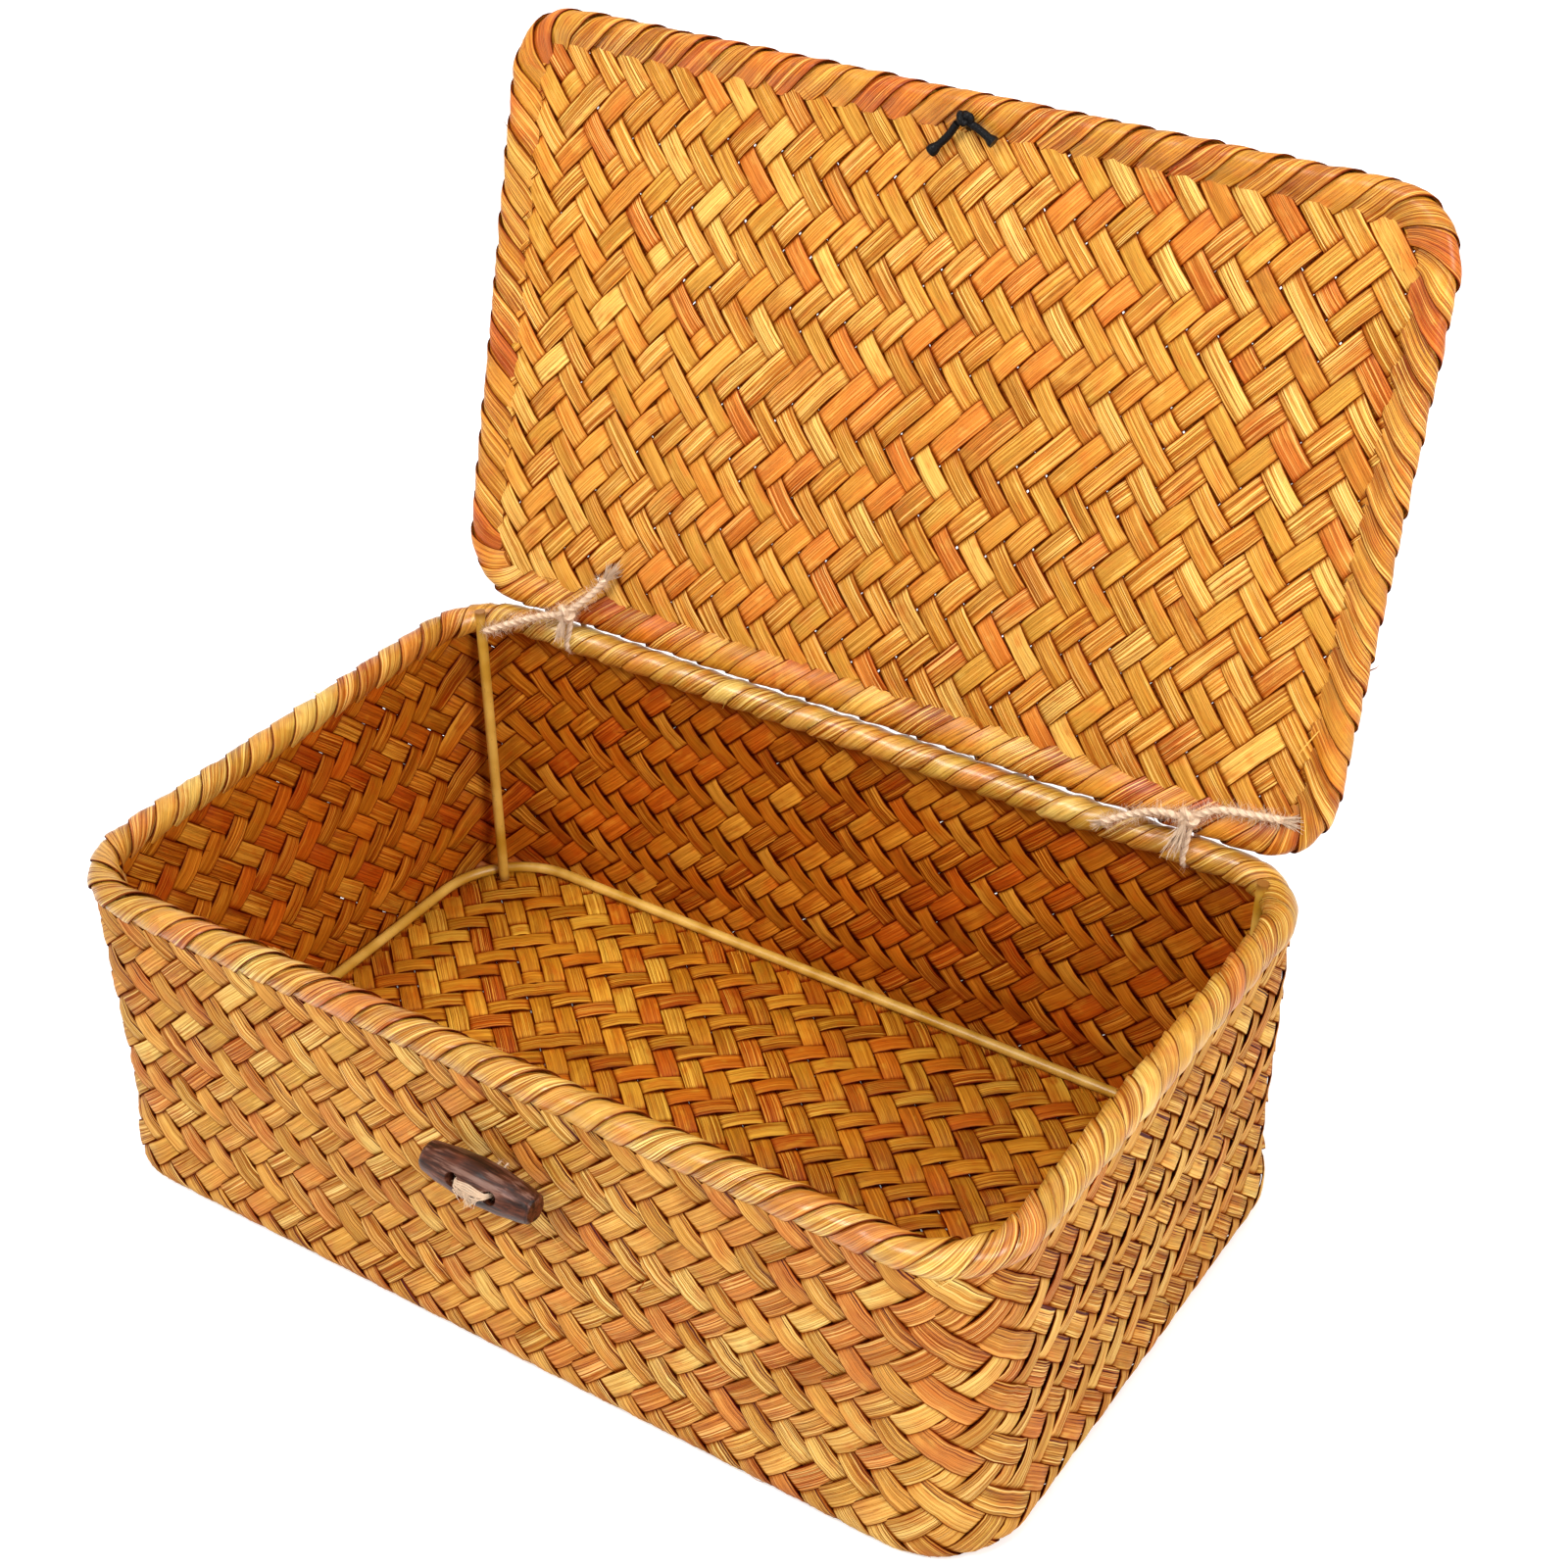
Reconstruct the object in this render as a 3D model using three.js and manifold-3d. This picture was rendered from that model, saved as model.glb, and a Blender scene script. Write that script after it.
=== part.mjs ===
// A rectangular woven basket with a flat woven lid that stands open on two twine ties.
// Millimetres, +Z up, +X along the long side, +Y to the back where the lid is tied on.
// The origin lies under the middle of the base.

import * as THREE from 'three';
import { mergeVertices } from 'three/addons/utils/BufferGeometryUtils.js';
import Module from 'manifold-3d';

const wasm = await Module();
wasm.setup();

// Basket body: the rim wire's centre line is the outline that everything else follows
const rimLength = 300;
const rimDepth = 184;
const rimHeight = 104.5;
const rimCornerRadius = 23;
const rimRollRadius = 5;
const wallThickness = 2.4;
const floorThickness = 2.4;

// How far the wall's outer surface lies outside the rim wire's centre line, and where
const footFlare = 5;
const footRadius = 5;
const waistFlare = 3;
const waistHeight = 26;
const shoulderFlare = 3.7;
const shoulderHeight = 80;

// Weave relief: a ridge along every other uppermost strip, slanting one way in one row and the other way
// in the next. Rows run level round the walls, and in rings round a middle row on the floor and the lid.
const weaveRelief = 0.8;
const weaveRowHeight = 9.6;
const weaveLowestRow = 16.6;
const weaveColumnWidth = 10;
const floorMiddleRow = 100;
const floorReliefEase = 0.1;
const lidRowWidth = 10.8;
const lidMiddleRow = 136;

// Wire frame
const frameWireRadius = 1.75;
const baseWireCornerRadius = 30;
const postChamfer = 0.5;

// Lid
const lidSideInset = 0.5;
const lidFrontInset = 3;
const lidCornerRadius = 19;
const lidRollRadius = 4;
const lidThickness = 2.4;
const lidWireRadius = 1.5;
const lidSetback = 2;
const lidSeatGap = 0.4;
const lidOpenAngle = THREE.MathUtils.degToRad(105);

// Twine ties
const twineRadius = 1.3;
const twineClearance = 0.4;
const leftTieInset = 41.5;
const rightTieInset = 36.5;
const leftKnotAngle = THREE.MathUtils.degToRad(162);
const rightKnotAngle = THREE.MathUtils.degToRad(142);
const tieKnotWidth = 7.2;
const tieKnotHeight = 6;
const tieKnotThickness = 4.6;

// Toggle
const toggleLength = 36.5;
const toggleRadius = 6.1;
const toggleEndRadius = 4.1;
const toggleChamfer = 0.8;
const toggleHeight = 76;
const toggleHoleX = 8.4;
const toggleHoleSpacing = 12.4;
const toggleHoleOffset = -0.8;
const toggleHoleRadius = 1.8;
const toggleTilt = THREE.MathUtils.degToRad(3);
const toggleRoll = THREE.MathUtils.degToRad(-20);
const stitchRadius = 1.15;
const stitchBend = 1.8;
const stitchKnotWidth = 8;
const stitchKnotHeight = 6.5;
const stitchKnotThickness = 5;

// Elastic cord
const elasticRadius = 1.2;
const elasticX = 7.4;
const elasticInset = 6.3;
const elasticKnotWidth = 8;
const elasticKnotHeight = 5.8;
const elasticKnotThickness = 5;
const elasticLean = THREE.MathUtils.degToRad(20);
const elasticTipRadius = 1.7;

// Clearance between pieces that touch, and how far a cut runs past what it cuts
const gap = 0.3;
const overrun = 2;

// Counts
const cornerSteps = 7;
const flareSteps = 24;
const filletSteps = 3;
const rollSteps = 18;
const boreSteps = 10;
const wireSides = 10;
const twineSides = 8;
const beltSteps = 14;
const tailSteps = 8;
const loopSteps = 32;
const stitchSteps = 64;
const roundSides = 24;

// Places that follow from the sizes above
const footHeight = footRadius;
const wallTopInset = shoulderFlare - wallThickness;
const wireSeat = frameWireRadius + gap;
const wallTopDrop = Math.sqrt(Math.max(0, wireSeat ** 2 - wallTopInset ** 2));
const wallTopHeight = rimHeight - wallTopDrop;
const lidLength = rimLength + 2 * (rimRollRadius - lidRollRadius - lidSideInset);
const lidDepth = rimDepth + lidSetback - lidFrontInset;
const leftTieX = leftTieInset - rimLength / 2;
const rightTieX = rimLength / 2 - rightTieInset;
const hingeY = rimDepth / 2 + lidSetback;
const hingeZ = rimHeight + rimRollRadius + lidRollRadius + lidSeatGap;
const tieLowerRadius = rimRollRadius + twineClearance + twineRadius;
const tieUpperRadius = lidRollRadius + twineClearance + twineRadius;

const material = (color, roughness, metalness = 0) => (
  new THREE.MeshStandardMaterial({ color, roughness, metalness })
);
const weave = material(0xc98f3f, 0.6);
const roll = material(0xb98032, 0.6);
const wire = material(0xb08a2e, 0.4, 0.3);
const twine = material(0xc9a583, 0.9);
const elastic = material(0x17171a, 0.7);
const wood = material(0x4a2a1c, 0.45);

const basket = new THREE.Group();

function addMesh(parent, name, geometry, surface) {
  const mesh = new THREE.Mesh(geometry, surface);
  mesh.name = name;
  parent.add(mesh);
  return mesh;
}

// Solids for cutting and joining

function signedVolume(position, index) {
  const [a, b, c] = [new THREE.Vector3(), new THREE.Vector3(), new THREE.Vector3()];
  let sum = 0;
  for (let i = 0; i < index.count; i += 3) {
    a.fromBufferAttribute(position, index.getX(i));
    b.fromBufferAttribute(position, index.getX(i + 1));
    c.fromBufferAttribute(position, index.getX(i + 2));
    sum += a.dot(b.cross(c));
  }
  return sum / 6;
}

function closed(geometry) {
  const bare = geometry.clone();
  bare.deleteAttribute('normal');
  bare.deleteAttribute('uv');
  const merged = mergeVertices(bare);
  const faces = [];
  for (let i = 0; i < merged.index.count; i += 3) {
    const corners = [0, 1, 2].map((k) => merged.index.getX(i + k));
    if (new Set(corners).size === 3) faces.push(corners);
  }
  merged.setIndex(faces.flat());
  if (signedVolume(merged.attributes.position, merged.index) < 0) {
    merged.setIndex(faces.flatMap(([a, b, c]) => [a, c, b]));
  }
  return merged;
}

function toSolid(geometry) {
  const shell = closed(geometry);
  const vertProperties = new Float32Array(shell.attributes.position.array);
  const triVerts = new Uint32Array(shell.index.array);
  return new wasm.Manifold(new wasm.Mesh({ numProp: 3, vertProperties, triVerts }));
}

function toGeometry(solid) {
  const mesh = solid.getMesh();
  const geometry = new THREE.BufferGeometry();
  geometry.setAttribute('position', new THREE.BufferAttribute(mesh.vertProperties, 3));
  geometry.setIndex(new THREE.BufferAttribute(mesh.triVerts, 1));
  geometry.computeVertexNormals();
  return geometry;
}

const cut = (geometry, cutters) => toGeometry(
  cutters.reduce((solid, cutter) => solid.subtract(toSolid(cutter)), toSolid(geometry)),
);

const join = (geometries) => toGeometry(
  geometries.map(toSolid).reduce((solid, next) => solid.add(next)),
);

const common = (first, second) => toGeometry(toSolid(first).intersect(toSolid(second)));

// A lathed ring whose columns are moved onto stations: each station has a centre, and where out and up point.
// A profile point on the axis goes to the middle of all the stations, and one with a sink is pushed in by it.
function ringAlong(stations, profile, isSlanted) {
  const middle = new THREE.Vector3();
  stations.forEach((station) => middle.addScaledVector(station.centre, 1 / stations.length));
  const geometry = new THREE.LatheGeometry(profile.map(({ point }) => point), stations.length);
  const position = geometry.attributes.position;
  for (let i = 0; i < position.count; i += 1) {
    const station = stations[Math.floor(i / profile.length) % stations.length];
    const { point, onAxis, sink } = profile[i % profile.length];
    const place = (onAxis ? middle : station.centre).clone().addScaledVector(station.up, point.y);
    if (!onAxis) place.addScaledVector(station.out, point.x - (sink ? sink(station) : 0));
    position.setXYZ(i, place.x, place.y, place.z);
  }
  if (isSlanted) slantFaces(geometry, isSlanted);
  return closed(geometry);
}

// Splits four-sided faces along their other diagonal where the face's middle asks for it
function slantFaces(geometry, isSlanted) {
  const { position } = geometry.attributes;
  const index = geometry.getIndex();
  const corner = new THREE.Vector3();
  for (let first = 0; first < index.count; first += 6) {
    const [a, b, d] = [0, 1, 2].map((k) => index.getX(first + k));
    const c = [3, 4, 5].map((k) => index.getX(first + k)).find((k) => ![a, b, d].includes(k));
    const middle = new THREE.Vector3();
    [a, b, c, d].forEach((k) => middle.add(corner.fromBufferAttribute(position, k)));
    if (isSlanted(middle.divideScalar(4))) [a, b, c, a, c, d].forEach((k, i) => index.setX(first + i, k));
  }
  return geometry;
}

const along = (points) => points.map((point) => ({ point, onAxis: false }));
const onAxis = (height) => ({ point: new THREE.Vector2(0, height), onAxis: true });

// Stations round a rectangle with rounded corners, lying flat
function rectangleStations(length, depth, cornerRadius, height) {
  const up = new THREE.Vector3(0, 0, 1);
  const stations = [];
  for (let corner = 0; corner < 4; corner += 1) {
    const quarter = (corner * Math.PI) / 2;
    const sideX = corner === 0 || corner === 3 ? 1 : -1;
    const sideY = corner < 2 ? 1 : -1;
    for (let step = 0; step <= cornerSteps; step += 1) {
      const angle = quarter + (step / cornerSteps) * (Math.PI / 2);
      const out = new THREE.Vector3(Math.cos(angle), Math.sin(angle), 0);
      const centre = new THREE.Vector3(
        sideX * (length / 2 - cornerRadius),
        sideY * (depth / 2 - cornerRadius),
        height,
      ).addScaledVector(out, cornerRadius);
      stations.push({ centre, out, up });
    }
  }
  return stations;
}

// The same stations, with the straight sides divided into the weave's columns
function wovenStations(length, depth, cornerRadius) {
  const corners = rectangleStations(length, depth, cornerRadius, 0);
  return corners.flatMap((station, i) => {
    if (i % (cornerSteps + 1) !== cornerSteps) return [station];
    const next = corners[(i + 1) % corners.length];
    const count = Math.round(station.centre.distanceTo(next.centre) / weaveColumnWidth);
    const columns = Array.from({ length: count - 1 }, (_, column) => ({
      ...station,
      centre: station.centre.clone().lerp(next.centre, (column + 1) / count),
      column,
    }));
    return [station, ...columns];
  });
}

// A flat sheet whose low places, every other corner of its grid, lie deeper on top and bulge below
function reliefSheet(length, depth, thickness, columnWidth, rowWidth, middleRow) {
  const odd = (count) => 2 * Math.floor(count / 2) + 1;
  const [columns, rows] = [odd(length / columnWidth), odd(depth / rowWidth)];
  const sheet = new THREE.BoxGeometry(length, depth, thickness, columns, rows);
  const { position } = sheet.attributes;
  for (let i = 0; i < position.count; i += 1) {
    const column = Math.round((position.getX(i) / length + 1 / 2) * columns);
    const row = Math.round((position.getY(i) / depth + 1 / 2) * rows);
    const low = (column + row) % 2;
    const height = position.getZ(i);
    position.setZ(i, height > 0 ? height - low * weaveRelief : height + (1 - low) * weaveRelief);
  }
  const ring = ({ x, y }) => Math.max(
    Math.abs(Math.round((y / depth) * rows)),
    Math.abs(Math.round((x / length) * columns)) - Math.round(middleRow / columnWidth / 2),
  );
  return { sheet, ring };
}

// Stations round a belt over two circles in the plane across X, the lower on the rim and the upper on the lid
function beltStations(x, lowerRadius, upperRadius) {
  const lower = new THREE.Vector2(rimDepth / 2, rimHeight);
  const upper = new THREE.Vector2(hingeY, hingeZ);
  const { lean, tilt } = beltTilt(lowerRadius, upperRadius);
  const front = lean + Math.PI / 2 - tilt;
  const back = lean - Math.PI / 2 + tilt;
  const up = new THREE.Vector3(1, 0, 0);
  const arc = (middle, radius, from, to) => {
    const steps = Array.from({ length: beltSteps + 1 }, (_, i) => from + (i / beltSteps) * (to - from));
    return steps.map((angle) => {
      const out = new THREE.Vector3(0, Math.cos(angle), Math.sin(angle));
      return { centre: new THREE.Vector3(x, middle.x, middle.y).addScaledVector(out, radius), out, up };
    });
  };
  return [
    ...arc(upper, upperRadius, back, front),
    ...arc(lower, lowerRadius, front, back + 2 * Math.PI),
  ];
}

function beltTilt(lowerRadius, upperRadius) {
  const rise = new THREE.Vector2(lidSetback, hingeZ - rimHeight);
  return { lean: rise.angle(), tilt: Math.asin((lowerRadius - upperRadius) / rise.length()) };
}

function circlePoints(radius, sides) {
  return Array.from({ length: sides + 1 }, (_, i) => {
    const angle = ((i % sides) / sides) * 2 * Math.PI;
    return new THREE.Vector2(radius * Math.cos(angle), radius * Math.sin(angle));
  });
}

const arcPoints = (radius, from, to, steps) => Array.from({ length: steps + 1 }, (_, i) => {
  const angle = from + (i / steps) * (to - from);
  return new THREE.Vector2(radius * Math.cos(angle), radius * Math.sin(angle));
});

function roundBar(radius, length, chamfer, sides) {
  const profile = [
    new THREE.Vector2(0, 0),
    new THREE.Vector2(radius - chamfer, 0),
    new THREE.Vector2(radius, chamfer),
    new THREE.Vector2(radius, length - chamfer),
    new THREE.Vector2(radius - chamfer, length),
    new THREE.Vector2(0, length),
  ];
  return new THREE.LatheGeometry(profile, sides);
}

// A round hole's cutter through a point, along an axis
function holeCutter(radius, length, centre, axis) {
  const cylinder = new THREE.CylinderGeometry(radius, radius, length, roundSides);
  const turn = new THREE.Quaternion().setFromUnitVectors(new THREE.Vector3(0, 1, 0), axis);
  return cylinder.applyQuaternion(turn).translate(centre.x, centre.y, centre.z);
}

function tube(path, radius, steps) {
  const section = new THREE.Shape(circlePoints(radius, twineSides).slice(0, twineSides));
  return new THREE.ExtrudeGeometry(section, { steps, extrudePath: path, bevelEnabled: false });
}

function ball(width, thickness, height) {
  return new THREE.SphereGeometry(1, 16, 12).scale(width / 2, thickness / 2, height / 2);
}

// Where a cord leaves a ball-shaped knot, a gap away from its surface
function leavingPoint(knot, semiAxes, towards) {
  const direction = towards.clone().sub(knot).normalize();
  const reach = 1 / direction.clone().divide(semiAxes).length();
  return knot.clone().addScaledVector(direction, reach + gap);
}

// Basket

function wallFlareAt(height) {
  const points = new THREE.SplineCurve([
    new THREE.Vector2(footFlare, footHeight),
    new THREE.Vector2(waistFlare, waistHeight),
    new THREE.Vector2(shoulderFlare, shoulderHeight),
    new THREE.Vector2(shoulderFlare, wallTopHeight),
  ]).getPoints(flareSteps);
  const above = Math.max(1, points.findIndex((point) => point.y >= height));
  const [low, high] = [points[above - 1], points[above]];
  return THREE.MathUtils.mapLinear(height, low.y, high.y, low.x, high.x);
}

// The heights that part the wall's rows, from the foot to the top edge
function wallRows() {
  const count = Math.round((wallTopHeight - weaveLowestRow) / weaveRowHeight);
  const inner = Array.from({ length: count }, (_, row) => weaveLowestRow + row * weaveRowHeight);
  return [footHeight, ...inner, wallTopHeight];
}

// The wall's face from the foot up, at an inset from its outside and sunk in the low places of the weave
function wallFace(inset, sinkAt) {
  const rows = wallRows();
  return rows.map((height, row) => ({
    point: new THREE.Vector2(wallFlareAt(height) - inset, height),
    onAxis: false,
    sink: ({ column }) => {
      const plain = column === undefined || row === 0 || row === rows.length - 1;
      return plain ? 0 : sinkAt((column + row) % 2);
    },
  }));
}

// The lowest row slants up to the right on the long walls and down to the right on the short ones
function slantsUp({ x, y, z }) {
  const row = wallRows().findLastIndex((height) => height < z);
  const onShortWall = Math.abs(x) - rimLength / 2 > Math.abs(y) - rimDepth / 2;
  return row >= 0 && row % 2 === Number(onShortWall);
}

function footArc(inset, lift) {
  const steps = Array.from({ length: filletSteps }, (_, i) => (i / filletSteps - 1) * (Math.PI / 2));
  return steps.map((angle) => new THREE.Vector2(
    footFlare - footRadius + (footRadius - inset) * Math.cos(angle),
    footHeight + (footRadius - lift) * Math.sin(angle),
  ));
}

function basketShell() {
  const outer = [...along(footArc(0, 0)), ...wallFace(0, (low) => low * weaveRelief)];
  const innerWall = wallFace(wallThickness, (low) => (low - 1) * weaveRelief);
  const inner = [...along(footArc(wallThickness, floorThickness)), ...innerWall];
  const profile = [onAxis(0), ...outer, ...inner.reverse(), onAxis(floorThickness)];
  return ringAlong(wovenStations(rimLength, rimDepth, rimCornerRadius), profile, slantsUp);
}

// Cuts the floor's weave inside the base wire, a little below its plain margin
function floorReliefCutter() {
  const height = floorThickness + overrun;
  const { sheet, ring } = reliefSheet(
    rimLength,
    rimDepth,
    height,
    weaveColumnWidth,
    weaveRowHeight,
    floorMiddleRow,
  );
  slantFaces(sheet, (middle) => ring(middle) % 2 === 0);
  sheet.translate(0, 0, floorThickness - floorReliefEase - weaveRelief + height / 2);
  const inset = 2 * (frameWireRadius + gap);
  const edge = rectangleStations(rimLength - inset, rimDepth - inset, rimCornerRadius, 0);
  const plug = [onAxis(0), ...along([new THREE.Vector2(0, 0), new THREE.Vector2(0, height)]), onAxis(height)];
  return common(sheet, ringAlong(edge, plug));
}

function tieCutters() {
  const section = along(circlePoints(twineRadius + gap, twineSides));
  const places = [leftTieX, rightTieX].map((x) => beltStations(x, tieLowerRadius, tieUpperRadius));
  return places.map((stations) => ringAlong(stations, section));
}

function addBasketWeave(parent) {
  const stitchHole = holeCutter(
    stitchPitch() + stitchRadius + gap,
    rimRollRadius * 4,
    new THREE.Vector3(toggleHoleX, -rimDepth / 2, toggleHeight),
    new THREE.Vector3(0, 1, 0),
  );
  const cutters = [floorReliefCutter(), ...tieCutters(), stitchHole];
  addMesh(parent, 'basket_weave', cut(basketShell(), cutters), weave);
}

// The rolled rim hooks over the rim wire, and the wall's top edge stands in its outer quarter
function rimRollSection() {
  const slotInset = wallTopInset - gap;
  const stepDrop = wallTopDrop - gap;
  const bore = wireSeat;
  const outerFrom = -Math.asin(stepDrop / rimRollRadius);
  const outerTo = 1.5 * Math.PI + Math.asin(slotInset / rimRollRadius);
  const boreFrom = 2 * Math.PI - Math.acos(slotInset / bore);
  const boreTo = -Math.asin(stepDrop / bore);
  const points = [
    ...arcPoints(rimRollRadius, outerFrom, outerTo, rollSteps),
    ...arcPoints(bore, boreFrom, boreTo, boreSteps),
  ];
  return [...points, points[0]];
}

function addRimRoll(parent) {
  const stations = rectangleStations(rimLength, rimDepth, rimCornerRadius, rimHeight);
  const ring = ringAlong(stations, along(rimRollSection()));
  const notches = postPlaces().map(({ foot, head }) => {
    const axis = head.clone().sub(foot).normalize();
    return holeCutter(frameWireRadius + gap, rimRollRadius * 4, head, axis);
  });
  addMesh(parent, 'rim_roll', cut(ring, notches), roll);
}

function wireRing(length, depth, cornerRadius, height, radius) {
  const stations = rectangleStations(length, depth, cornerRadius, height);
  return ringAlong(stations, along(circlePoints(radius, wireSides)));
}

function addFrameRings(parent) {
  const rimRing = wireRing(rimLength, rimDepth, rimCornerRadius, rimHeight, frameWireRadius);
  addMesh(parent, 'rim_wire', rimRing, wire);
  const baseSpan = footFlare - footRadius;
  const baseHeight = floorThickness + gap + frameWireRadius;
  const baseRing = wireRing(
    rimLength + 2 * baseSpan,
    rimDepth + 2 * baseSpan,
    baseWireCornerRadius,
    baseHeight,
    frameWireRadius,
  );
  addMesh(parent, 'base_wire', baseRing, wire);
}

// Each post stands inside the base wire's corner and ends beside the rim wire's corner
function postPlaces() {
  const reach = (radius) => (radius - 2 * frameWireRadius - gap) * Math.SQRT1_2;
  const baseSpan = footFlare - footRadius;
  const footX = rimLength / 2 + baseSpan - baseWireCornerRadius + reach(baseWireCornerRadius);
  const footY = rimDepth / 2 + baseSpan - baseWireCornerRadius + reach(baseWireCornerRadius);
  const headX = rimLength / 2 - rimCornerRadius + reach(rimCornerRadius);
  const headY = rimDepth / 2 - rimCornerRadius + reach(rimCornerRadius);
  const sides = [['front_left', -1, -1], ['front_right', 1, -1], ['back_left', -1, 1], ['back_right', 1, 1]];
  return sides.map(([side, x, y]) => ({
    side,
    foot: new THREE.Vector3(x * footX, y * footY, floorThickness + gap),
    head: new THREE.Vector3(x * headX, y * headY, rimHeight + rimRollRadius),
  }));
}

function addPosts(parent) {
  postPlaces().forEach(({ side, foot, head }) => {
    const rise = head.clone().sub(foot);
    const bar = roundBar(frameWireRadius, rise.length(), postChamfer, wireSides);
    const post = addMesh(parent, `post_${side}`, closed(bar), wire);
    post.quaternion.setFromUnitVectors(new THREE.Vector3(0, 1, 0), rise.normalize());
    post.position.copy(foot);
  });
}

// Twine ties: a loop round the rim's roll and the lid's roll, a knot on it and two tails

const tieKnotAxes = new THREE.Vector3(tieKnotWidth / 2, tieKnotThickness / 2, tieKnotHeight / 2);

function tieKnotCentre(x, angle) {
  const reach = lidRollRadius + twineClearance + tieKnotThickness / 2;
  return new THREE.Vector3(x, hingeY + reach * Math.cos(angle), hingeZ + reach * Math.sin(angle));
}

function addTie(parent, side, x, knotAngle, tails) {
  const stations = beltStations(x, tieLowerRadius, tieUpperRadius);
  const loop = ringAlong(stations, along(circlePoints(twineRadius, twineSides)));
  addMesh(parent, `tie_${side}_loop`, loop, twine);
  const knot = tieKnotCentre(x, knotAngle);
  const groove = ringAlong(stations, along(circlePoints(twineRadius + gap, twineSides)));
  const body = ball(tieKnotWidth, tieKnotThickness, tieKnotHeight)
    .rotateX(knotAngle - Math.PI)
    .translate(knot.x, knot.y, knot.z);
  addMesh(parent, `tie_${side}_knot`, cut(body, [groove]), twine);
  tails.forEach(([end, ...route]) => {
    const points = route.map((offset) => new THREE.Vector3(...offset).add(knot));
    const start = leavingPoint(knot, tieKnotAxes, points[0]);
    const path = new THREE.CatmullRomCurve3([start, ...points]);
    addMesh(parent, `tie_${side}_tail_${end}`, closed(tube(path, twineRadius, tailSteps)), twine);
  });
}

// The tails' routes, as offsets from their knot
const leftTails = [
  ['left', [-9.8, -1.6, -3.1], [-19.8, -4.8, -7.4], [-28.3, -7.6, -11.6]],
  ['right', [6, 1.6, 5.6], [9.7, 4.2, 9.8], [12.6, 6.2, 13.8]],
];
const rightTails = [
  ['left', [-9, -2, 0.2], [-16.8, -3.1, -3.2], [-24.5, -4.9, -7.6]],
  ['right', [8, 1.4, 5], [16.5, 3.4, 5.6], [26.8, 4.7, 6.5]],
];

// Toggle and the stitch that holds it, turning together about the hole in the wall

const stitchPitch = () => stitchRadius + gap / 2;

function toggleProfile() {
  const half = toggleLength / 2;
  const side = new THREE.SplineCurve([
    new THREE.Vector2(toggleEndRadius, -half + toggleChamfer),
    new THREE.Vector2(toggleRadius, 0),
    new THREE.Vector2(toggleEndRadius, half - toggleChamfer),
  ]).getPoints(8);
  return [
    new THREE.Vector2(0, -half),
    new THREE.Vector2(toggleEndRadius - toggleChamfer, -half),
    ...side,
    new THREE.Vector2(toggleEndRadius - toggleChamfer, half),
    new THREE.Vector2(0, half),
  ];
}

// A point beside the toggle's axis, turned with its holes, which face a little upwards
const rolled = (x, y) => new THREE.Vector3(x, y, 0).applyAxisAngle(new THREE.Vector3(1, 0, 0), toggleRoll);

function addToggle(parent) {
  const barrel = new THREE.LatheGeometry(toggleProfile(), roundSides)
    .rotateZ(-Math.PI / 2)
    .translate(toggleHoleOffset, 0, 0);
  const holes = [-1, 1].map((side) => holeCutter(
    toggleHoleRadius,
    toggleRadius * 2 + overrun,
    new THREE.Vector3((side * toggleHoleSpacing) / 2, 0, 0),
    rolled(0, 1),
  ));
  addMesh(parent, 'toggle', cut(barrel, holes), wood);
}

// A path of straight runs with rounded bends
function bentPath(points, bend) {
  const path = new THREE.CurvePath();
  let from = points[0];
  for (let i = 1; i < points.length - 1; i += 1) {
    const back = points[i - 1].clone().sub(points[i]).setLength(bend);
    const ahead = points[i + 1].clone().sub(points[i]).setLength(bend);
    const [start, end] = [points[i].clone().add(back), points[i].clone().add(ahead)];
    path.add(new THREE.LineCurve3(from, start));
    path.add(new THREE.QuadraticBezierCurve3(start, points[i], end));
    from = end;
  }
  path.add(new THREE.LineCurve3(from, points.at(-1)));
  return path;
}

function addStitch(parent, wallOuter) {
  const front = -(toggleRadius + gap + stitchRadius);
  const behind = wallOuter - gap - stitchRadius;
  const knotY = wallOuter + wallThickness + gap + stitchKnotThickness / 2;
  const [far, near] = [toggleHoleSpacing / 2, stitchPitch()];
  const route = [
    new THREE.Vector3(-near, knotY, 0), new THREE.Vector3(-near, behind, 0),
    rolled(-far, behind), rolled(-far, front), rolled(far, front), rolled(far, behind),
    new THREE.Vector3(near, behind, 0), new THREE.Vector3(near, knotY, 0),
  ];
  const strand = tube(bentPath(route, stitchBend), stitchRadius, stitchSteps);
  const knot = ball(stitchKnotWidth, stitchKnotThickness, stitchKnotHeight).translate(0, knotY, 0);
  addMesh(parent, 'toggle_stitch', join([strand, knot]), twine);
}

function addToggleGroup(parent) {
  const standOff = 2 * stitchRadius + 2 * gap;
  const wallOuter = toggleRadius + standOff;
  const group = new THREE.Group();
  group.position.set(
    toggleHoleX,
    -(rimDepth / 2 + wallFlareAt(toggleHeight) + wallOuter),
    toggleHeight,
  );
  group.rotation.y = toggleTilt;
  addToggle(group);
  addStitch(group, wallOuter);
  parent.add(group);
}

// Lid, modelled lying shut: its hinge line is the back lid wire's centre line, at the group's origin

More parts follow.
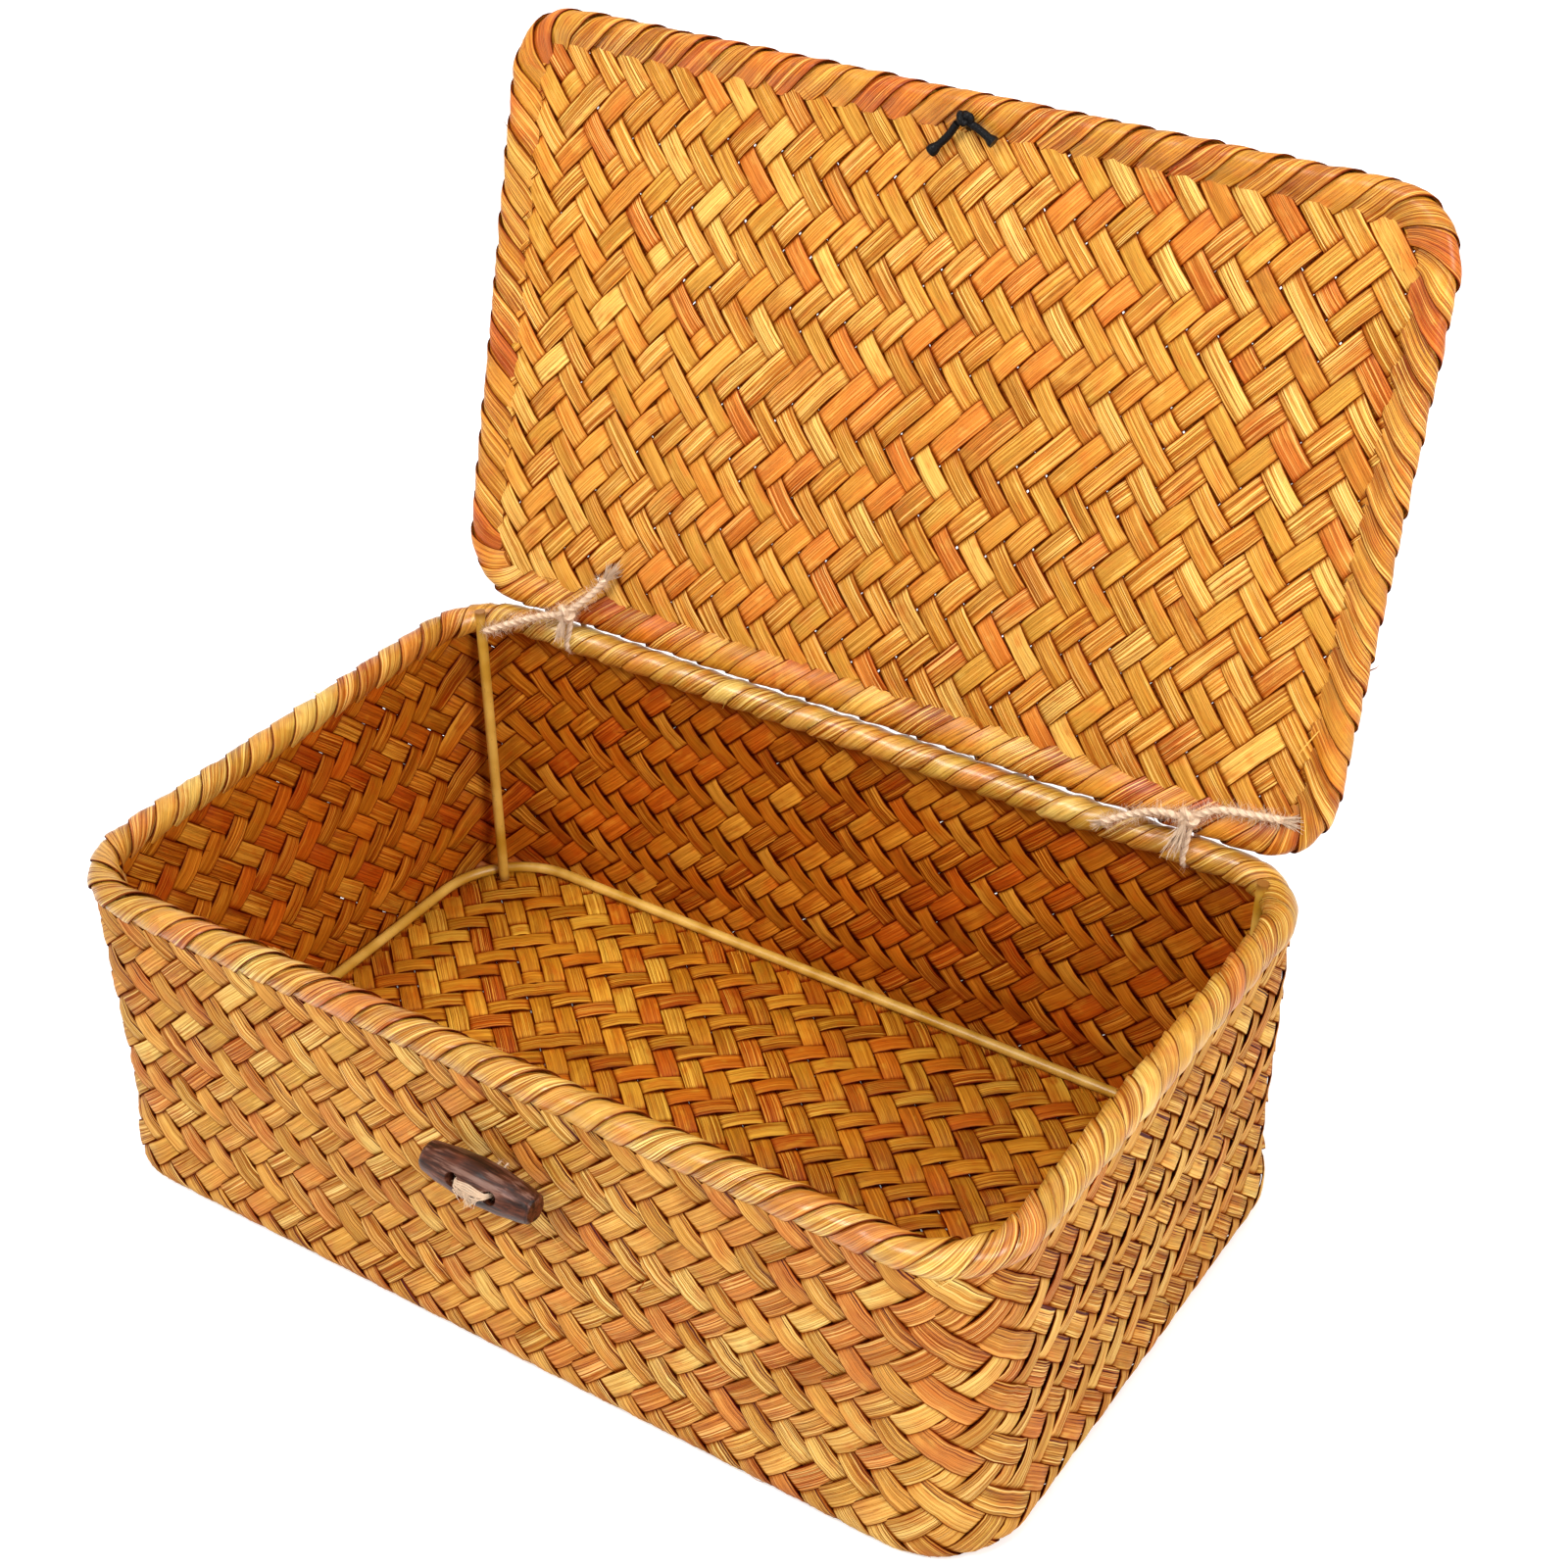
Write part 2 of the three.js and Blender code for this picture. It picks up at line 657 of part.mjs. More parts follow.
function addLidWeave(parent) {
  const edge = lidWireRadius + gap;
  const outline = rectangleStations(lidLength, lidDepth, lidCornerRadius, 0);
  const half = lidThickness / 2;
  const plug = [
    onAxis(-lidThickness),
    ...along([new THREE.Vector2(-edge, -lidThickness), new THREE.Vector2(-edge, lidThickness)]),
    onAxis(lidThickness),
  ];
  const { sheet, ring } = reliefSheet(
    lidLength,
    lidDepth,
    lidThickness,
    weaveColumnWidth,
    lidRowWidth,
    lidMiddleRow,
  );
  slantFaces(sheet, (middle) => ring(middle) % 2 === 1);
  const panel = common(sheet, ringAlong(outline, plug)).translate(0, -lidDepth / 2, 0);
  const { tilt, lean } = beltTilt(tieLowerRadius, tieUpperRadius);
  const slant = Math.PI / 2 - lean + tilt;
  const nearest = lidRollRadius;
  const furthest = (tieUpperRadius + twineRadius) / Math.cos(slant) + half * Math.tan(slant) + gap;
  const tieHoles = [leftTieX, rightTieX].map((x) => holeCutter(
    (furthest - nearest) / 2,
    lidThickness + overrun,
    new THREE.Vector3(x, -(furthest + nearest) / 2, 0),
    new THREE.Vector3(0, 0, 1),
  ));
  const elasticHole = holeCutter(
    elasticRadius + gap,
    lidThickness + overrun,
    new THREE.Vector3(elasticX, elasticInset - lidDepth, 0),
    new THREE.Vector3(0, 0, 1),
  );
  addMesh(parent, 'lid_weave', cut(panel, [...tieHoles, elasticHole]), weave);
}

function lidRollSection() {
  const slot = lidThickness / 2 + gap;
  const bore = lidWireRadius + gap;
  const outer = Math.PI - Math.asin(slot / lidRollRadius);
  const inner = Math.PI - Math.asin(slot / bore);
  const points = [
    ...arcPoints(lidRollRadius, -outer, outer, rollSteps),
    ...arcPoints(bore, inner, -inner, boreSteps),
  ];
  return [...points, points[0]];
}

function addLidEdge(parent) {
  const outline = rectangleStations(lidLength, lidDepth, lidCornerRadius, 0);
  const edge = ringAlong(outline, along(lidRollSection())).translate(0, -lidDepth / 2, 0);
  addMesh(parent, 'lid_roll', edge, roll);
  const ring = wireRing(lidLength, lidDepth, lidCornerRadius, 0, lidWireRadius);
  addMesh(parent, 'lid_wire', ring.translate(0, -lidDepth / 2, 0), wire);
}

// Elastic cord: a knot and two ends on the lid's inside, and a loop on its outside

const elasticKnotAxes = new THREE.Vector3(elasticKnotWidth, elasticKnotHeight, elasticKnotThickness)
  .divideScalar(2);

function addElasticKnot(parent) {
  const face = -lidThickness / 2;
  const centre = new THREE.Vector3(elasticX, elasticInset - lidDepth, face - gap - elasticKnotThickness / 2);
  const knot = ball(elasticKnotWidth, elasticKnotHeight, elasticKnotThickness)
    .translate(centre.x, centre.y, centre.z);
  const stubTop = lidThickness / 2 + gap + elasticRadius;
  const stub = roundBar(elasticRadius, stubTop - centre.z, elasticRadius / 4, twineSides)
    .rotateX(Math.PI / 2)
    .translate(centre.x, centre.y, centre.z);
  addMesh(parent, 'elastic_knot', join([knot, stub]), elastic);
  elasticEnds.forEach(([side, ...route]) => {
    const points = route.map((offset) => new THREE.Vector3(...offset).add(centre));
    const start = leavingPoint(centre, elasticKnotAxes, points[0]);
    const path = new THREE.CatmullRomCurve3([start, ...points]);
    const tip = ball(2 * elasticTipRadius, 2 * elasticTipRadius, 2 * elasticRadius)
      .translate(points.at(-1).x, points.at(-1).y, points.at(-1).z);
    addMesh(parent, `elastic_end_${side}`, join([tube(path, elasticRadius, tailSteps), tip]), elastic);
  });
}

// The ends' routes, as offsets from their knot
const elasticEnds = [
  ['left', [-4.6, 6.2, 0.9], [-9.2, 11, 1.3]],
  ['right', [5.6, 2.2, 0.7], [9.9, 4.4, 1.3]],
];

// The loop's route, as its half width and its distance from the front lid wire
const elasticRoute = [
  [1.7, 8.4], [4.6, 18], [7.4, 33], [6.6, 43], [3.4, 48.6],
];
const elasticReach = 50;

function addElasticLoop(parent) {
  const half = elasticRoute.map(([x, reach]) => new THREE.Vector3(x, reach, 0));
  const mirrored = half.map((point) => new THREE.Vector3(-point.x, point.y, 0));
  const points = [...mirrored, new THREE.Vector3(0, elasticReach, 0), ...half.reverse()];
  const path = new THREE.CatmullRomCurve3(points);
  const group = new THREE.Group();
  group.position.set(elasticX, -lidDepth, 0);
  group.rotation.x = elasticLean;
  addMesh(group, 'elastic_loop', closed(tube(path, elasticRadius, loopSteps)), elastic);
  parent.add(group);
}

function addLid(parent) {
  const lid = new THREE.Group();
  lid.position.set(0, hingeY, hingeZ);
  lid.rotation.x = -lidOpenAngle;
  addLidWeave(lid);
  addLidEdge(lid);
  addElasticKnot(lid);
  addElasticLoop(lid);
  parent.add(lid);
}

addBasketWeave(basket);
addRimRoll(basket);
addFrameRings(basket);
addPosts(basket);
addTie(basket, 'left', leftTieX, leftKnotAngle, leftTails);
addTie(basket, 'right', rightTieX, rightKnotAngle, rightTails);
addToggleGroup(basket);
addLid(basket);

export default basket;
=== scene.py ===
"""Dresses the woven lidded box: plaited walls, floor and lid, wire frame, ties, toggle and elastic cord."""

import math
import random
from types import SimpleNamespace

import bpy
from mathutils import Matrix, Vector
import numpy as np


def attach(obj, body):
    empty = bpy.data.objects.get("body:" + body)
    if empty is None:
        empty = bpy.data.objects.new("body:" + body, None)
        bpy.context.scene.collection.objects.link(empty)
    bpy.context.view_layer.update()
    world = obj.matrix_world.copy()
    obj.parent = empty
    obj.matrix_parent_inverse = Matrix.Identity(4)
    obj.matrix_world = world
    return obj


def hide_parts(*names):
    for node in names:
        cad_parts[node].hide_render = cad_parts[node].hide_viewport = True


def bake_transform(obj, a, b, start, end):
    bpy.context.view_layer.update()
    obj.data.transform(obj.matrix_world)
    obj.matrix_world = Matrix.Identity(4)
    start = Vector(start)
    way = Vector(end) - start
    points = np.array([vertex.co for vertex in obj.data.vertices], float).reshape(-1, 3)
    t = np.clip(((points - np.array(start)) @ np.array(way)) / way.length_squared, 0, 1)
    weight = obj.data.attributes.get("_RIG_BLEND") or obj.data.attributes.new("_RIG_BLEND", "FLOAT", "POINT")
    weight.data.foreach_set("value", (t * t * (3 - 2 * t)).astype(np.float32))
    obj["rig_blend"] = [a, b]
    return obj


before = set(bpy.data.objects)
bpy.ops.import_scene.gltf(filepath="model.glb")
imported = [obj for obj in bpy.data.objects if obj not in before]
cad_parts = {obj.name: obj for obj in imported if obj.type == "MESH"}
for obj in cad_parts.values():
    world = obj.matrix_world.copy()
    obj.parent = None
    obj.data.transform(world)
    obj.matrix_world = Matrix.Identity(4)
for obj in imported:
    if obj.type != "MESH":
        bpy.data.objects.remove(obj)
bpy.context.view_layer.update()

MM = 0.001

# Basket, in millimetres: the rim wire's centre line is the outline that the rest follows
RIM_LENGTH, RIM_DEPTH, RIM_HEIGHT, RIM_CORNER = 300, 184, 104.5, 23
RIM_ROLL = 5
WALL_MIDDLE = 1.4
FOOT_RADIUS = 5
WIRE_RADIUS, LID_WIRE_RADIUS = 1.75, 1.5
BASE_WIRE_CORNER, BASE_WIRE_HEIGHT = 30, 4.45
POST_FOOT, POST_HEAD = 2.7, 109.5
FRONT_POST_SHARE = 0.94

# Lid, in its own frame: hinge line on X, panel towards -Y, outside face up
LID_LENGTH, LID_DEPTH, LID_CORNER = 301, 183, 19
HINGE = Vector((0, 94, 113.9))
OPEN_LID = Matrix.Translation(HINGE * MM) @ Matrix.Rotation(math.radians(-105), 4, "X")

# Toggle and elastic cord
TOGGLE_LENGTH, TOGGLE_RADIUS, TOGGLE_END_RADIUS = 36.5, 6.1, 4.1
TOGGLE_HOLE_SPACING, TOGGLE_HOLE_OFFSET, TOGGLE_HOLE_RADIUS = 12.4, -0.8, 1.8
TOGGLE_PLACE = (8.4, -104.7, 76)
TOGGLE_TILT, TOGGLE_ROLL = math.radians(3), math.radians(-20)
ELASTIC_X, ELASTIC_RADIUS, ELASTIC_LEAN = 7.4, 1.2, math.radians(20)
ELASTIC_INSET = 6.3

# Plait: number of strips, spacing of the crossings and the places where the wall's pattern turns a corner
WALL_STRIPS = 92
WALL_ROW, FLOOR_ROW = 4.8, 4.68
WALL_ROWS_BELOW_SEAT = 19.7
WALL_TURNS = 145.06, 319.2
LID_CELL = 4.85, 5.57


def metres(point):
    return Vector(point) * MM


def shares(steps):
    """Even steps from 0 to 1."""
    return [step / steps for step in range(steps + 1)]


def circle(sides):
    """Angles once round."""
    return [step / sides * 2 * math.pi for step in range(sides)]


def srgb(red, green, blue):
    """A colour written as it looks on screen, for a shader."""
    def linear(value):
        value /= 255
        return value / 12.92 if value <= 0.04045 else ((value + 0.055) / 1.055) ** 2.4
    return linear(red), linear(green), linear(blue), 1.0


def added(name, data):
    """A new object in the scene."""
    piece = bpy.data.objects.new(name, data)
    bpy.context.scene.collection.objects.link(piece)
    return piece


def added_mesh(name, points, edges, faces):
    mesh = bpy.data.meshes.new(name)
    mesh.from_pydata(points, edges, faces)
    return added(name, mesh)


def set_camera():
    yaw, pitch, roll = -0.5904, 0.6041, -0.0133
    forward = Vector((math.sin(yaw) * math.cos(pitch), math.cos(yaw) * math.cos(pitch), -math.sin(pitch)))
    level = Vector((math.cos(yaw), -math.sin(yaw), 0))
    above = level.cross(forward)
    right = math.cos(roll) * level + math.sin(roll) * above
    up = -math.sin(roll) * level + math.cos(roll) * above
    data = bpy.data.cameras.new("photo_camera")
    data.lens = 59.965
    data.sensor_width = 36
    data.shift_x, data.shift_y = -0.0024, 0.01456
    camera = added("photo_camera", data)
    turn = Matrix((right, up, -forward)).transposed().to_4x4()
    camera.matrix_world = Matrix.Translation((0.35811, -0.48086, 0.54426)) @ turn
    bpy.context.scene.camera = camera


# Node trees written as formulas


def math_node(operation, swapped=False):
    """A method of Flow: adds a math node and gives its result."""
    def result(flow, *others):
        values = (*others, flow) if swapped else (flow, *others)
        return flow.nodes.add("ShaderNodeMath", dict(enumerate(values)), operation=operation)
    return result


class Flow:
    """A value on its way through a node tree, which takes part in formulas."""

    def __init__(self, nodes, socket):
        self.nodes, self.socket = nodes, socket

    __add__, __radd__ = math_node("ADD"), math_node("ADD", swapped=True)
    __sub__, __rsub__ = math_node("SUBTRACT"), math_node("SUBTRACT", swapped=True)
    __mul__, __rmul__ = math_node("MULTIPLY"), math_node("MULTIPLY", swapped=True)
    __truediv__, __mod__, __pow__ = math_node("DIVIDE"), math_node("FLOORED_MODULO"), math_node("POWER")
    __gt__, __lt__, __abs__ = math_node("GREATER_THAN"), math_node("LESS_THAN"), math_node("ABSOLUTE")
    __floor__, __round__, fraction = math_node("FLOOR"), math_node("ROUND"), math_node("FRACT")
    largest, smallest, root = math_node("MAXIMUM"), math_node("MINIMUM"), math_node("SQRT")
    sine, arctan2 = math_node("SINE"), math_node("ARCTAN2")

    def smooth(self, low, high, bottom=0.0, top=1.0):
        """Goes softly from bottom to top while the value goes from low to high."""
        ends = {"From Min": low, "From Max": high, "To Min": bottom, "To Max": top}
        return self.nodes.add("ShaderNodeMapRange", {"Value": self, **ends}, interpolation_type="SMOOTHSTEP")


def plain_name(label):
    return label.lower().replace(" ", "_")


class Nodes:
    """Adds nodes to a tree and joins them."""

    def __init__(self, tree):
        self.tree = tree

    def feed(self, socket, value):
        if isinstance(value, Flow):
            self.tree.links.new(value.socket, socket)
        else:
            socket.default_value = value

    def node(self, kind, inputs=None, **settings):
        node = self.tree.nodes.new(kind)
        for name, value in settings.items():
            setattr(node, name, value)
        for key, value in (inputs or {}).items():
            named = [s for s in node.inputs if key in (s.identifier, s.name)]
            self.feed(named[0] if named else node.inputs[key], value)
        return node

    def add(self, kind, inputs=None, out=0, **settings):
        return Flow(self, self.node(kind, inputs, **settings).outputs[out])

    def flows(self, kind, inputs=None, **settings):
        """A new node's outputs by name."""
        outputs = self.node(kind, inputs, **settings).outputs
        return SimpleNamespace(**{plain_name(s.name): Flow(self, s) for s in outputs if s.name})

    def vector(self, x, y, z):
        return self.add("ShaderNodeCombineXYZ", {"X": x, "Y": y, "Z": z})

    def parts(self, vector):
        split = self.flows("ShaderNodeSeparateXYZ", {"Vector": vector})
        return split.x, split.y, split.z

    def noise(self, x, y, z, detail=1.0, roughness=0.5):
        return self.add("ShaderNodeTexNoise", {
            "Vector": self.vector(x, y, z), "Scale": 1.0, "Detail": detail, "Roughness": roughness})

    def chance(self, low, high, seed):
        return self.add("FunctionNodeRandomValue", {"Min_001": low, "Max_001": high, "Seed": seed}, out=1)

    def keep(self, geometry, **values):
        """Stores numbers at every point under their names."""
        for name, value in values.items():
            geometry = self.add("GeometryNodeStoreNamedAttribute", {
                "Geometry": geometry, "Name": name, "Value": value}, data_type="FLOAT", domain="POINT")
        return geometry

    def kept(self, *names):
        return [self.add("GeometryNodeInputNamedAttribute", {"Name": name}) for name in names]

    def placed(self, geometry, place):
        return self.add("GeometryNodeSetPosition", {"Geometry": geometry, "Position": place})

    def shape_of(self, piece):
        return self.add("GeometryNodeObjectInfo", {"Object": piece}, out="Geometry")

    def line_along(self, edges, step):
        """Runs of edges as curves with a point every step."""
        curve = self.add("GeometryNodeMeshToCurve", {"Mesh": edges})
        return self.add("GeometryNodeResampleCurve", {"Curve": curve, "Length": step}, mode="LENGTH")

    def sweep(self, curve, outline, breadth, thickness, size):
        outline = self.add("GeometryNodeTransform", {
            "Geometry": outline, "Scale": self.vector(breadth, thickness, 1.0)})
        return self.add("GeometryNodeCurveToMesh", {
            "Curve": curve, "Profile Curve": outline, "Scale": size, "Fill Caps": True})

    def with_copies(self, surface, points, shape, turn, size):
        """A surface and the copies of a shape that stand on its points."""
        copies = self.add("GeometryNodeInstanceOnPoints", {
            "Points": points, "Instance": self.shape_of(shape), "Rotation": turn,
            "Scale": self.vector(size, size, size)})
        joiner = self.node("GeometryNodeJoinGeometry")
        for geometry in (surface, copies):
            self.feed(joiner.inputs[0], geometry)
        return Flow(self, joiner.outputs[0])

    def mixed(self, share, start, end, blend="MIX"):
        """Two colours mixed. One of three numbers is written as it looks on screen."""
        start, end = (srgb(*c) if isinstance(c, tuple) and len(c) == 3 else c for c in (start, end))
        return self.add("ShaderNodeMix", {"Factor_Float": share, "A_Color": start, "B_Color": end},
                        out=2, data_type="RGBA", blend_type=blend)

    def attributes(self, *names):
        return [self.add("ShaderNodeAttribute", out="Fac", attribute_name=name) for name in names]

    def object_place(self):
        return self.parts(self.add("ShaderNodeTexCoord", out="Object"))


def geometry_tree(name, first, **inputs):
    """A Geometry Nodes tree with inputs of each kind, and flows from them."""
    tree = bpy.data.node_groups.new(name, "GeometryNodeTree")
    tree.interface.new_socket("Geometry", in_out="OUTPUT", socket_type="NodeSocketGeometry")
    for kind, labels in {"Geometry": [first], **inputs, "Material": ["Material"]}.items():
        for label in labels:
            number = "Float" if kind == "Distance" else kind
            socket = tree.interface.new_socket(label, in_out="INPUT", socket_type=f"NodeSocket{number}")
            if kind == "Distance":
                socket.subtype = "DISTANCE"
    nodes = Nodes(tree)
    return tree, nodes, nodes.flows("NodeGroupInput")


def close_tree(nodes, geometry, material):
    """Ends a tree with smooth shading, real geometry and its material."""
    geometry = nodes.add("GeometryNodeSetShadeSmooth", {"Geometry": geometry})
    geometry = nodes.add("GeometryNodeRealizeInstances", {"Geometry": geometry})
    geometry = nodes.add("GeometryNodeSetMaterial", {"Geometry": geometry, "Material": material})
    nodes.feed(nodes.node("NodeGroupOutput").inputs[0], geometry)


def with_modifier(piece, tree, values):
    """Adds a Geometry Nodes modifier with its inputs set by their identifiers, distances from millimetres."""
    modifier = piece.modifiers.new(tree.name, "NODES")
    modifier.node_group = tree
    for item in tree.interface.items_tree:
        if item.in_out == "INPUT" and plain_name(item.name) in values:
            value = values[plain_name(item.name)]
            distance = getattr(item, "subtype", "") == "DISTANCE"
            modifier[item.identifier] = value * MM if distance else value


def plain_piece(maker, name, transform=None):
    """The evaluated result as a plain mesh, with nothing live left on it."""
    bpy.context.view_layer.update()
    evaluated = maker.evaluated_get(bpy.context.evaluated_depsgraph_get())
    mesh = bpy.data.meshes.new_from_object(evaluated)
    mesh.name = name
    if transform:
        mesh.transform(transform)
    piece = added(name, mesh)
    bpy.data.objects.remove(maker)
    return piece


def helper_curve(name, points, closed=True):
    """A curve that a tree samples or sweeps."""
    data = bpy.data.curves.new(name, "CURVE")
    data.dimensions = "3D"
    spline = data.splines.new("POLY")
    spline.points.add(len(points) - 1)
    for target, point in zip(spline.points, points):
        target.co = (*point, 1)
    spline.use_cyclic_u = closed
    return added(name, data)


def helper_paths(name, paths, closed=False):
    """A mesh of bare edges, one run of them for each path, in metres."""
    points, edges = [], []
    for path in paths:
        first = len(points)
        points.extend(path)
        edges.extend((i, i + 1) for i in range(first, len(points) - 1))
        if closed:
            edges.append((len(points) - 1, first))
    return added_mesh(name, points, edges, [])


def helper_solid(name, rings):
    """A closed tube of rings with the same number of points each, in millimetres."""
    sides = len(rings[0])
    points = [metres(point) for ring in rings for point in ring]
    faces = [(low + side, low + (side + 1) % sides, low + sides + (side + 1) % sides, low + sides + side)
             for low in range(0, len(points) - sides, sides) for side in range(sides)]
    faces.append(tuple(reversed(range(sides))))
    faces.append(tuple(range(len(points) - sides, len(points))))
    return added_mesh(name, points, [], faces)


def smooth_path(points, steps=8, closed=False):
    """Points along a smooth curve through the given ones."""
    points = [Vector(point) for point in points]
    if closed:
        points = points[-1:] + points + points[:2]
    else:
        points = [2 * points[0] - points[1]] + points + [2 * points[-1] - points[-2]]
    path = []
    for before, start, end, after in zip(points, points[1:], points[2:], points[3:]):
        for t in shares(steps)[:-1]:
            bend, twist = 2 * before - 5 * start + 4 * end - after, 3 * start - before - 3 * end + after
            path.append(0.5 * (2 * start + (end - before) * t + bend * t * t + twist * t ** 3))
    return path if closed else path + [points[-2]]


# Plaited strips


def crosses_over(run, row, given):
    """+1 where a strip lies over its crossing and -1 where it lies under, from the twill's ring rule.

    Past a turn of the wall the rings lie two rows higher, and one row higher on the way there."""
    across = given.lean * (run - row)
    level = abs(run + row).largest(abs(across) - given.centre_row)
    place = across % given.half_way_round
    for turn, way in ((given.first_turn, 1.0), (given.second_turn, -1.0)):
        for side in (-1.5, 1.5):
            level = level + (place > turn + side) * way
    return ((level % 4.0 < 1.5) * 2.0 - 1.0) * given.lean * -1.0


def plait_tree():
    tree, nodes, given = geometry_tree(
        "Plaited strips", "Courses", Object=["Section", "Sliver"], Int=["Seed"],
        Float=["Lean", "Centre Row", "Half Way Round", "First Turn", "Second Turn", "Turn Length", "Slivers"],
        Distance=["Cell Width", "Cell Depth", "Strip Width", "Strip Thickness", "Lift", "Outer Bulge",
                  "Inner Bulge", "Outer Tilt", "Inner Tilt", "Fold Tilt", "Wander", "Groove", "Flat Below",
                  "Ring Step"])
    x, y, z = nodes.parts(nodes.add("GeometryNodeInputPosition"))
    lean, seed, wander = given.lean, given.seed, given.wander

    curve = nodes.line_along(given.courses, given.ring_step)
    row = round((y / given.cell_depth - lean * x / given.cell_width) * 0.5)
    chance = nodes.add("FunctionNodeRandomValue", {"ID": row, "Seed": seed}, out=1)
    length = nodes.add("GeometryNodeSplineParameter", out="Length")
    curve = nodes.keep(curve, row=row, strip=chance, along=length)
    row, strip, along, across = nodes.kept("row", "strip", "along", "across")

    slip = (nodes.noise(along * 45.0, row * 3.7, seed * 7.3) - 0.5) * wander * 3.0
    curve = nodes.add("GeometryNodeSetPosition", {
        "Geometry": curve, "Offset": nodes.vector(slip, slip * lean * -1.0, 0.0)})
    curve = nodes.add("GeometryNodeSetCurveNormal", {"Curve": curve}, mode="Z_UP")

    breadth = nodes.noise(along * 60.0, row * 5.1, seed * 3.1)
    size = 0.94 + strip * 0.09 + (breadth - 0.5) * 0.22
    outline = nodes.keep(nodes.shape_of(given.section), across=x, top=y < 0.0)
    swept = nodes.sweep(curve, outline, given.strip_width * 0.5, given.strip_thickness, size)

    run = (y / given.cell_depth + lean * x / given.cell_width) * 0.5
    cell = math.floor(run)
    part = run - cell
    before, after = crosses_over(cell, row, given), crosses_over(cell + 1.0, row, given)
    half_turn = given.turn_length * 0.5
    lie = before + (after - before) * part.smooth(0.5 - half_turn, 0.5 + half_turn)
    arch = (before + after) * 0.5 * (part * math.pi).sine()
    over, under = lie.largest(0.0), (lie * -1.0).largest(0.0)
    bulge = arch.largest(0.0) * given.outer_bulge + arch.smallest(0.0) * given.inner_bulge
    tilt = across * (over * given.outer_tilt - under * given.inner_tilt)
    rise = (y - given.flat_below).smooth(-6.0 * MM, 8.0 * MM)
    ripple = nodes.noise(x * 160.0, y * 160.0, row * 1.7)
    ridge = nodes.noise(across * 2.3, along * 22.0, row * 9.7 + seed * 1.3)
    height = (z + lie * given.lift + (bulge + tilt) * rise + (ripple - 0.5) * wander * 1.6
              + (ridge - 0.5) * given.groove + across * given.fold_tilt)
    top, = nodes.kept("top")
    shown = 1.0 + (lie * (top * 2.0 - 1.0) - 1.0) * (given.lift > 0.0)
    swept = nodes.placed(nodes.keep(swept, lie=shown), nodes.vector(x, y, height))

    scatter = nodes.flows("GeometryNodeDistributePointsOnFaces", {
        "Mesh": swept, "Density": given.slivers, "Seed": seed, "Selection": nodes.kept("lie")[0] > 0.3})
    turned = (nodes.parts(scatter.normal)[2] < 0.0) * math.pi
    heading = given.cell_depth.arctan2(lean * given.cell_width)
    back = (nodes.chance(0.0, 1.0, 5) > 0.5) * math.pi
    angle = heading + back + nodes.chance(-0.3, 0.3, 6)
    turn = nodes.add("FunctionNodeEulerToRotation", {"Euler": nodes.vector(turned, 0.0, angle)})
    size = nodes.chance(0.4, 1.15, 7)
    close_tree(nodes, nodes.with_copies(swept, scatter.points, given.sliver, turn, size), given.material)
    return tree


def wrap_tree():
    """Carries a flat plait round an outline and up a profile."""
    tree, nodes, given = geometry_tree("Wrap round", "Plait", Object=["Outline", "Profile"],
                                       Distance=["Round Length", "Profile Start"])
    x, y, z = nodes.parts(nodes.add("GeometryNodeInputPosition"))

    def sampled(helper, length):
        spot = nodes.flows("GeometryNodeSampleCurve", {"Curves": nodes.shape_of(helper), "Length": length},
                           mode="LENGTH", use_all_curves=True)
        return nodes.parts(spot.position), nodes.parts(spot.tangent)

    where, ahead = sampled(given.outline, x % given.round_length)
    section, rise = sampled(given.profile, y - given.profile_start)
    out, up = section[0] + z * rise[2], section[2] - z * rise[0]
    place = nodes.vector(where[0] + ahead[1] * out, where[1] - ahead[0] * out, up)
    close_tree(nodes, nodes.placed(given.plait, place), given.material)
    return tree


def strip_section():
    """Half a strip's width is 1 across, and its thickness is 1: crowned a little, with thin edges."""
    spots = [-0.97, -0.8, -0.55, -0.28, 0.0, 0.28, 0.55, 0.8, 0.97]
    top = [(spot, 0.55 - 0.22 * spot * spot - 0.18 * abs(spot) ** 8) for spot in spots]
    bottom = [(spot, 0.28 * spot * spot - 0.5) for spot in reversed(spots)]
    outline = [(-1.0, 0.02)] + top + [(1.0, 0.02)] + bottom
    return helper_curve("strip_section", [(x, -y, 0) for x, y in outline])


def sliver_shape():
    """A thin loose fibre along +X, which bends up and a little aside towards its free end."""
    rings = []
    for t in shares(6):
        middle = Vector((11 * t, 1.1 * t * t, 0.3 + 1.5 * t * t))
        breadth, thickness = 0.26 - 0.17 * t, 0.11 - 0.05 * t
        rings.append([middle + Vector((0, y * breadth, z * thickness))
                      for y, z in ((-1, 0), (0, -1), (1, 0), (0, 1))])
    return helper_solid("sliver_shape", rings)


def flat_courses(name, width, row_depth, lean, length, depth, corner, inset):
    """The strips' centre lines on a flat panel, each cut where it leaves the panel's rounded rectangle."""
    radius = corner - inset

    def inside(point):
        over = [abs(at) - (side / 2 - inset - radius) for at, side in zip(point, (length, depth))]
        return max(over) < radius and (min(over) <= 0 or math.hypot(*over) < radius)

    lines = []
    for row in range(-60, 61):
        runs = [step / 20 for step in range(-1400, 1401)]
        kept = [point for point in ((lean * width * (run - row), row_depth * (run + row)) for run in runs)
                if inside(point)]
        if len(kept) > 12:
            lines.append([(x * MM, y * MM, 0) for x, y in (kept[0], kept[-1])])
    return helper_paths(name, lines)


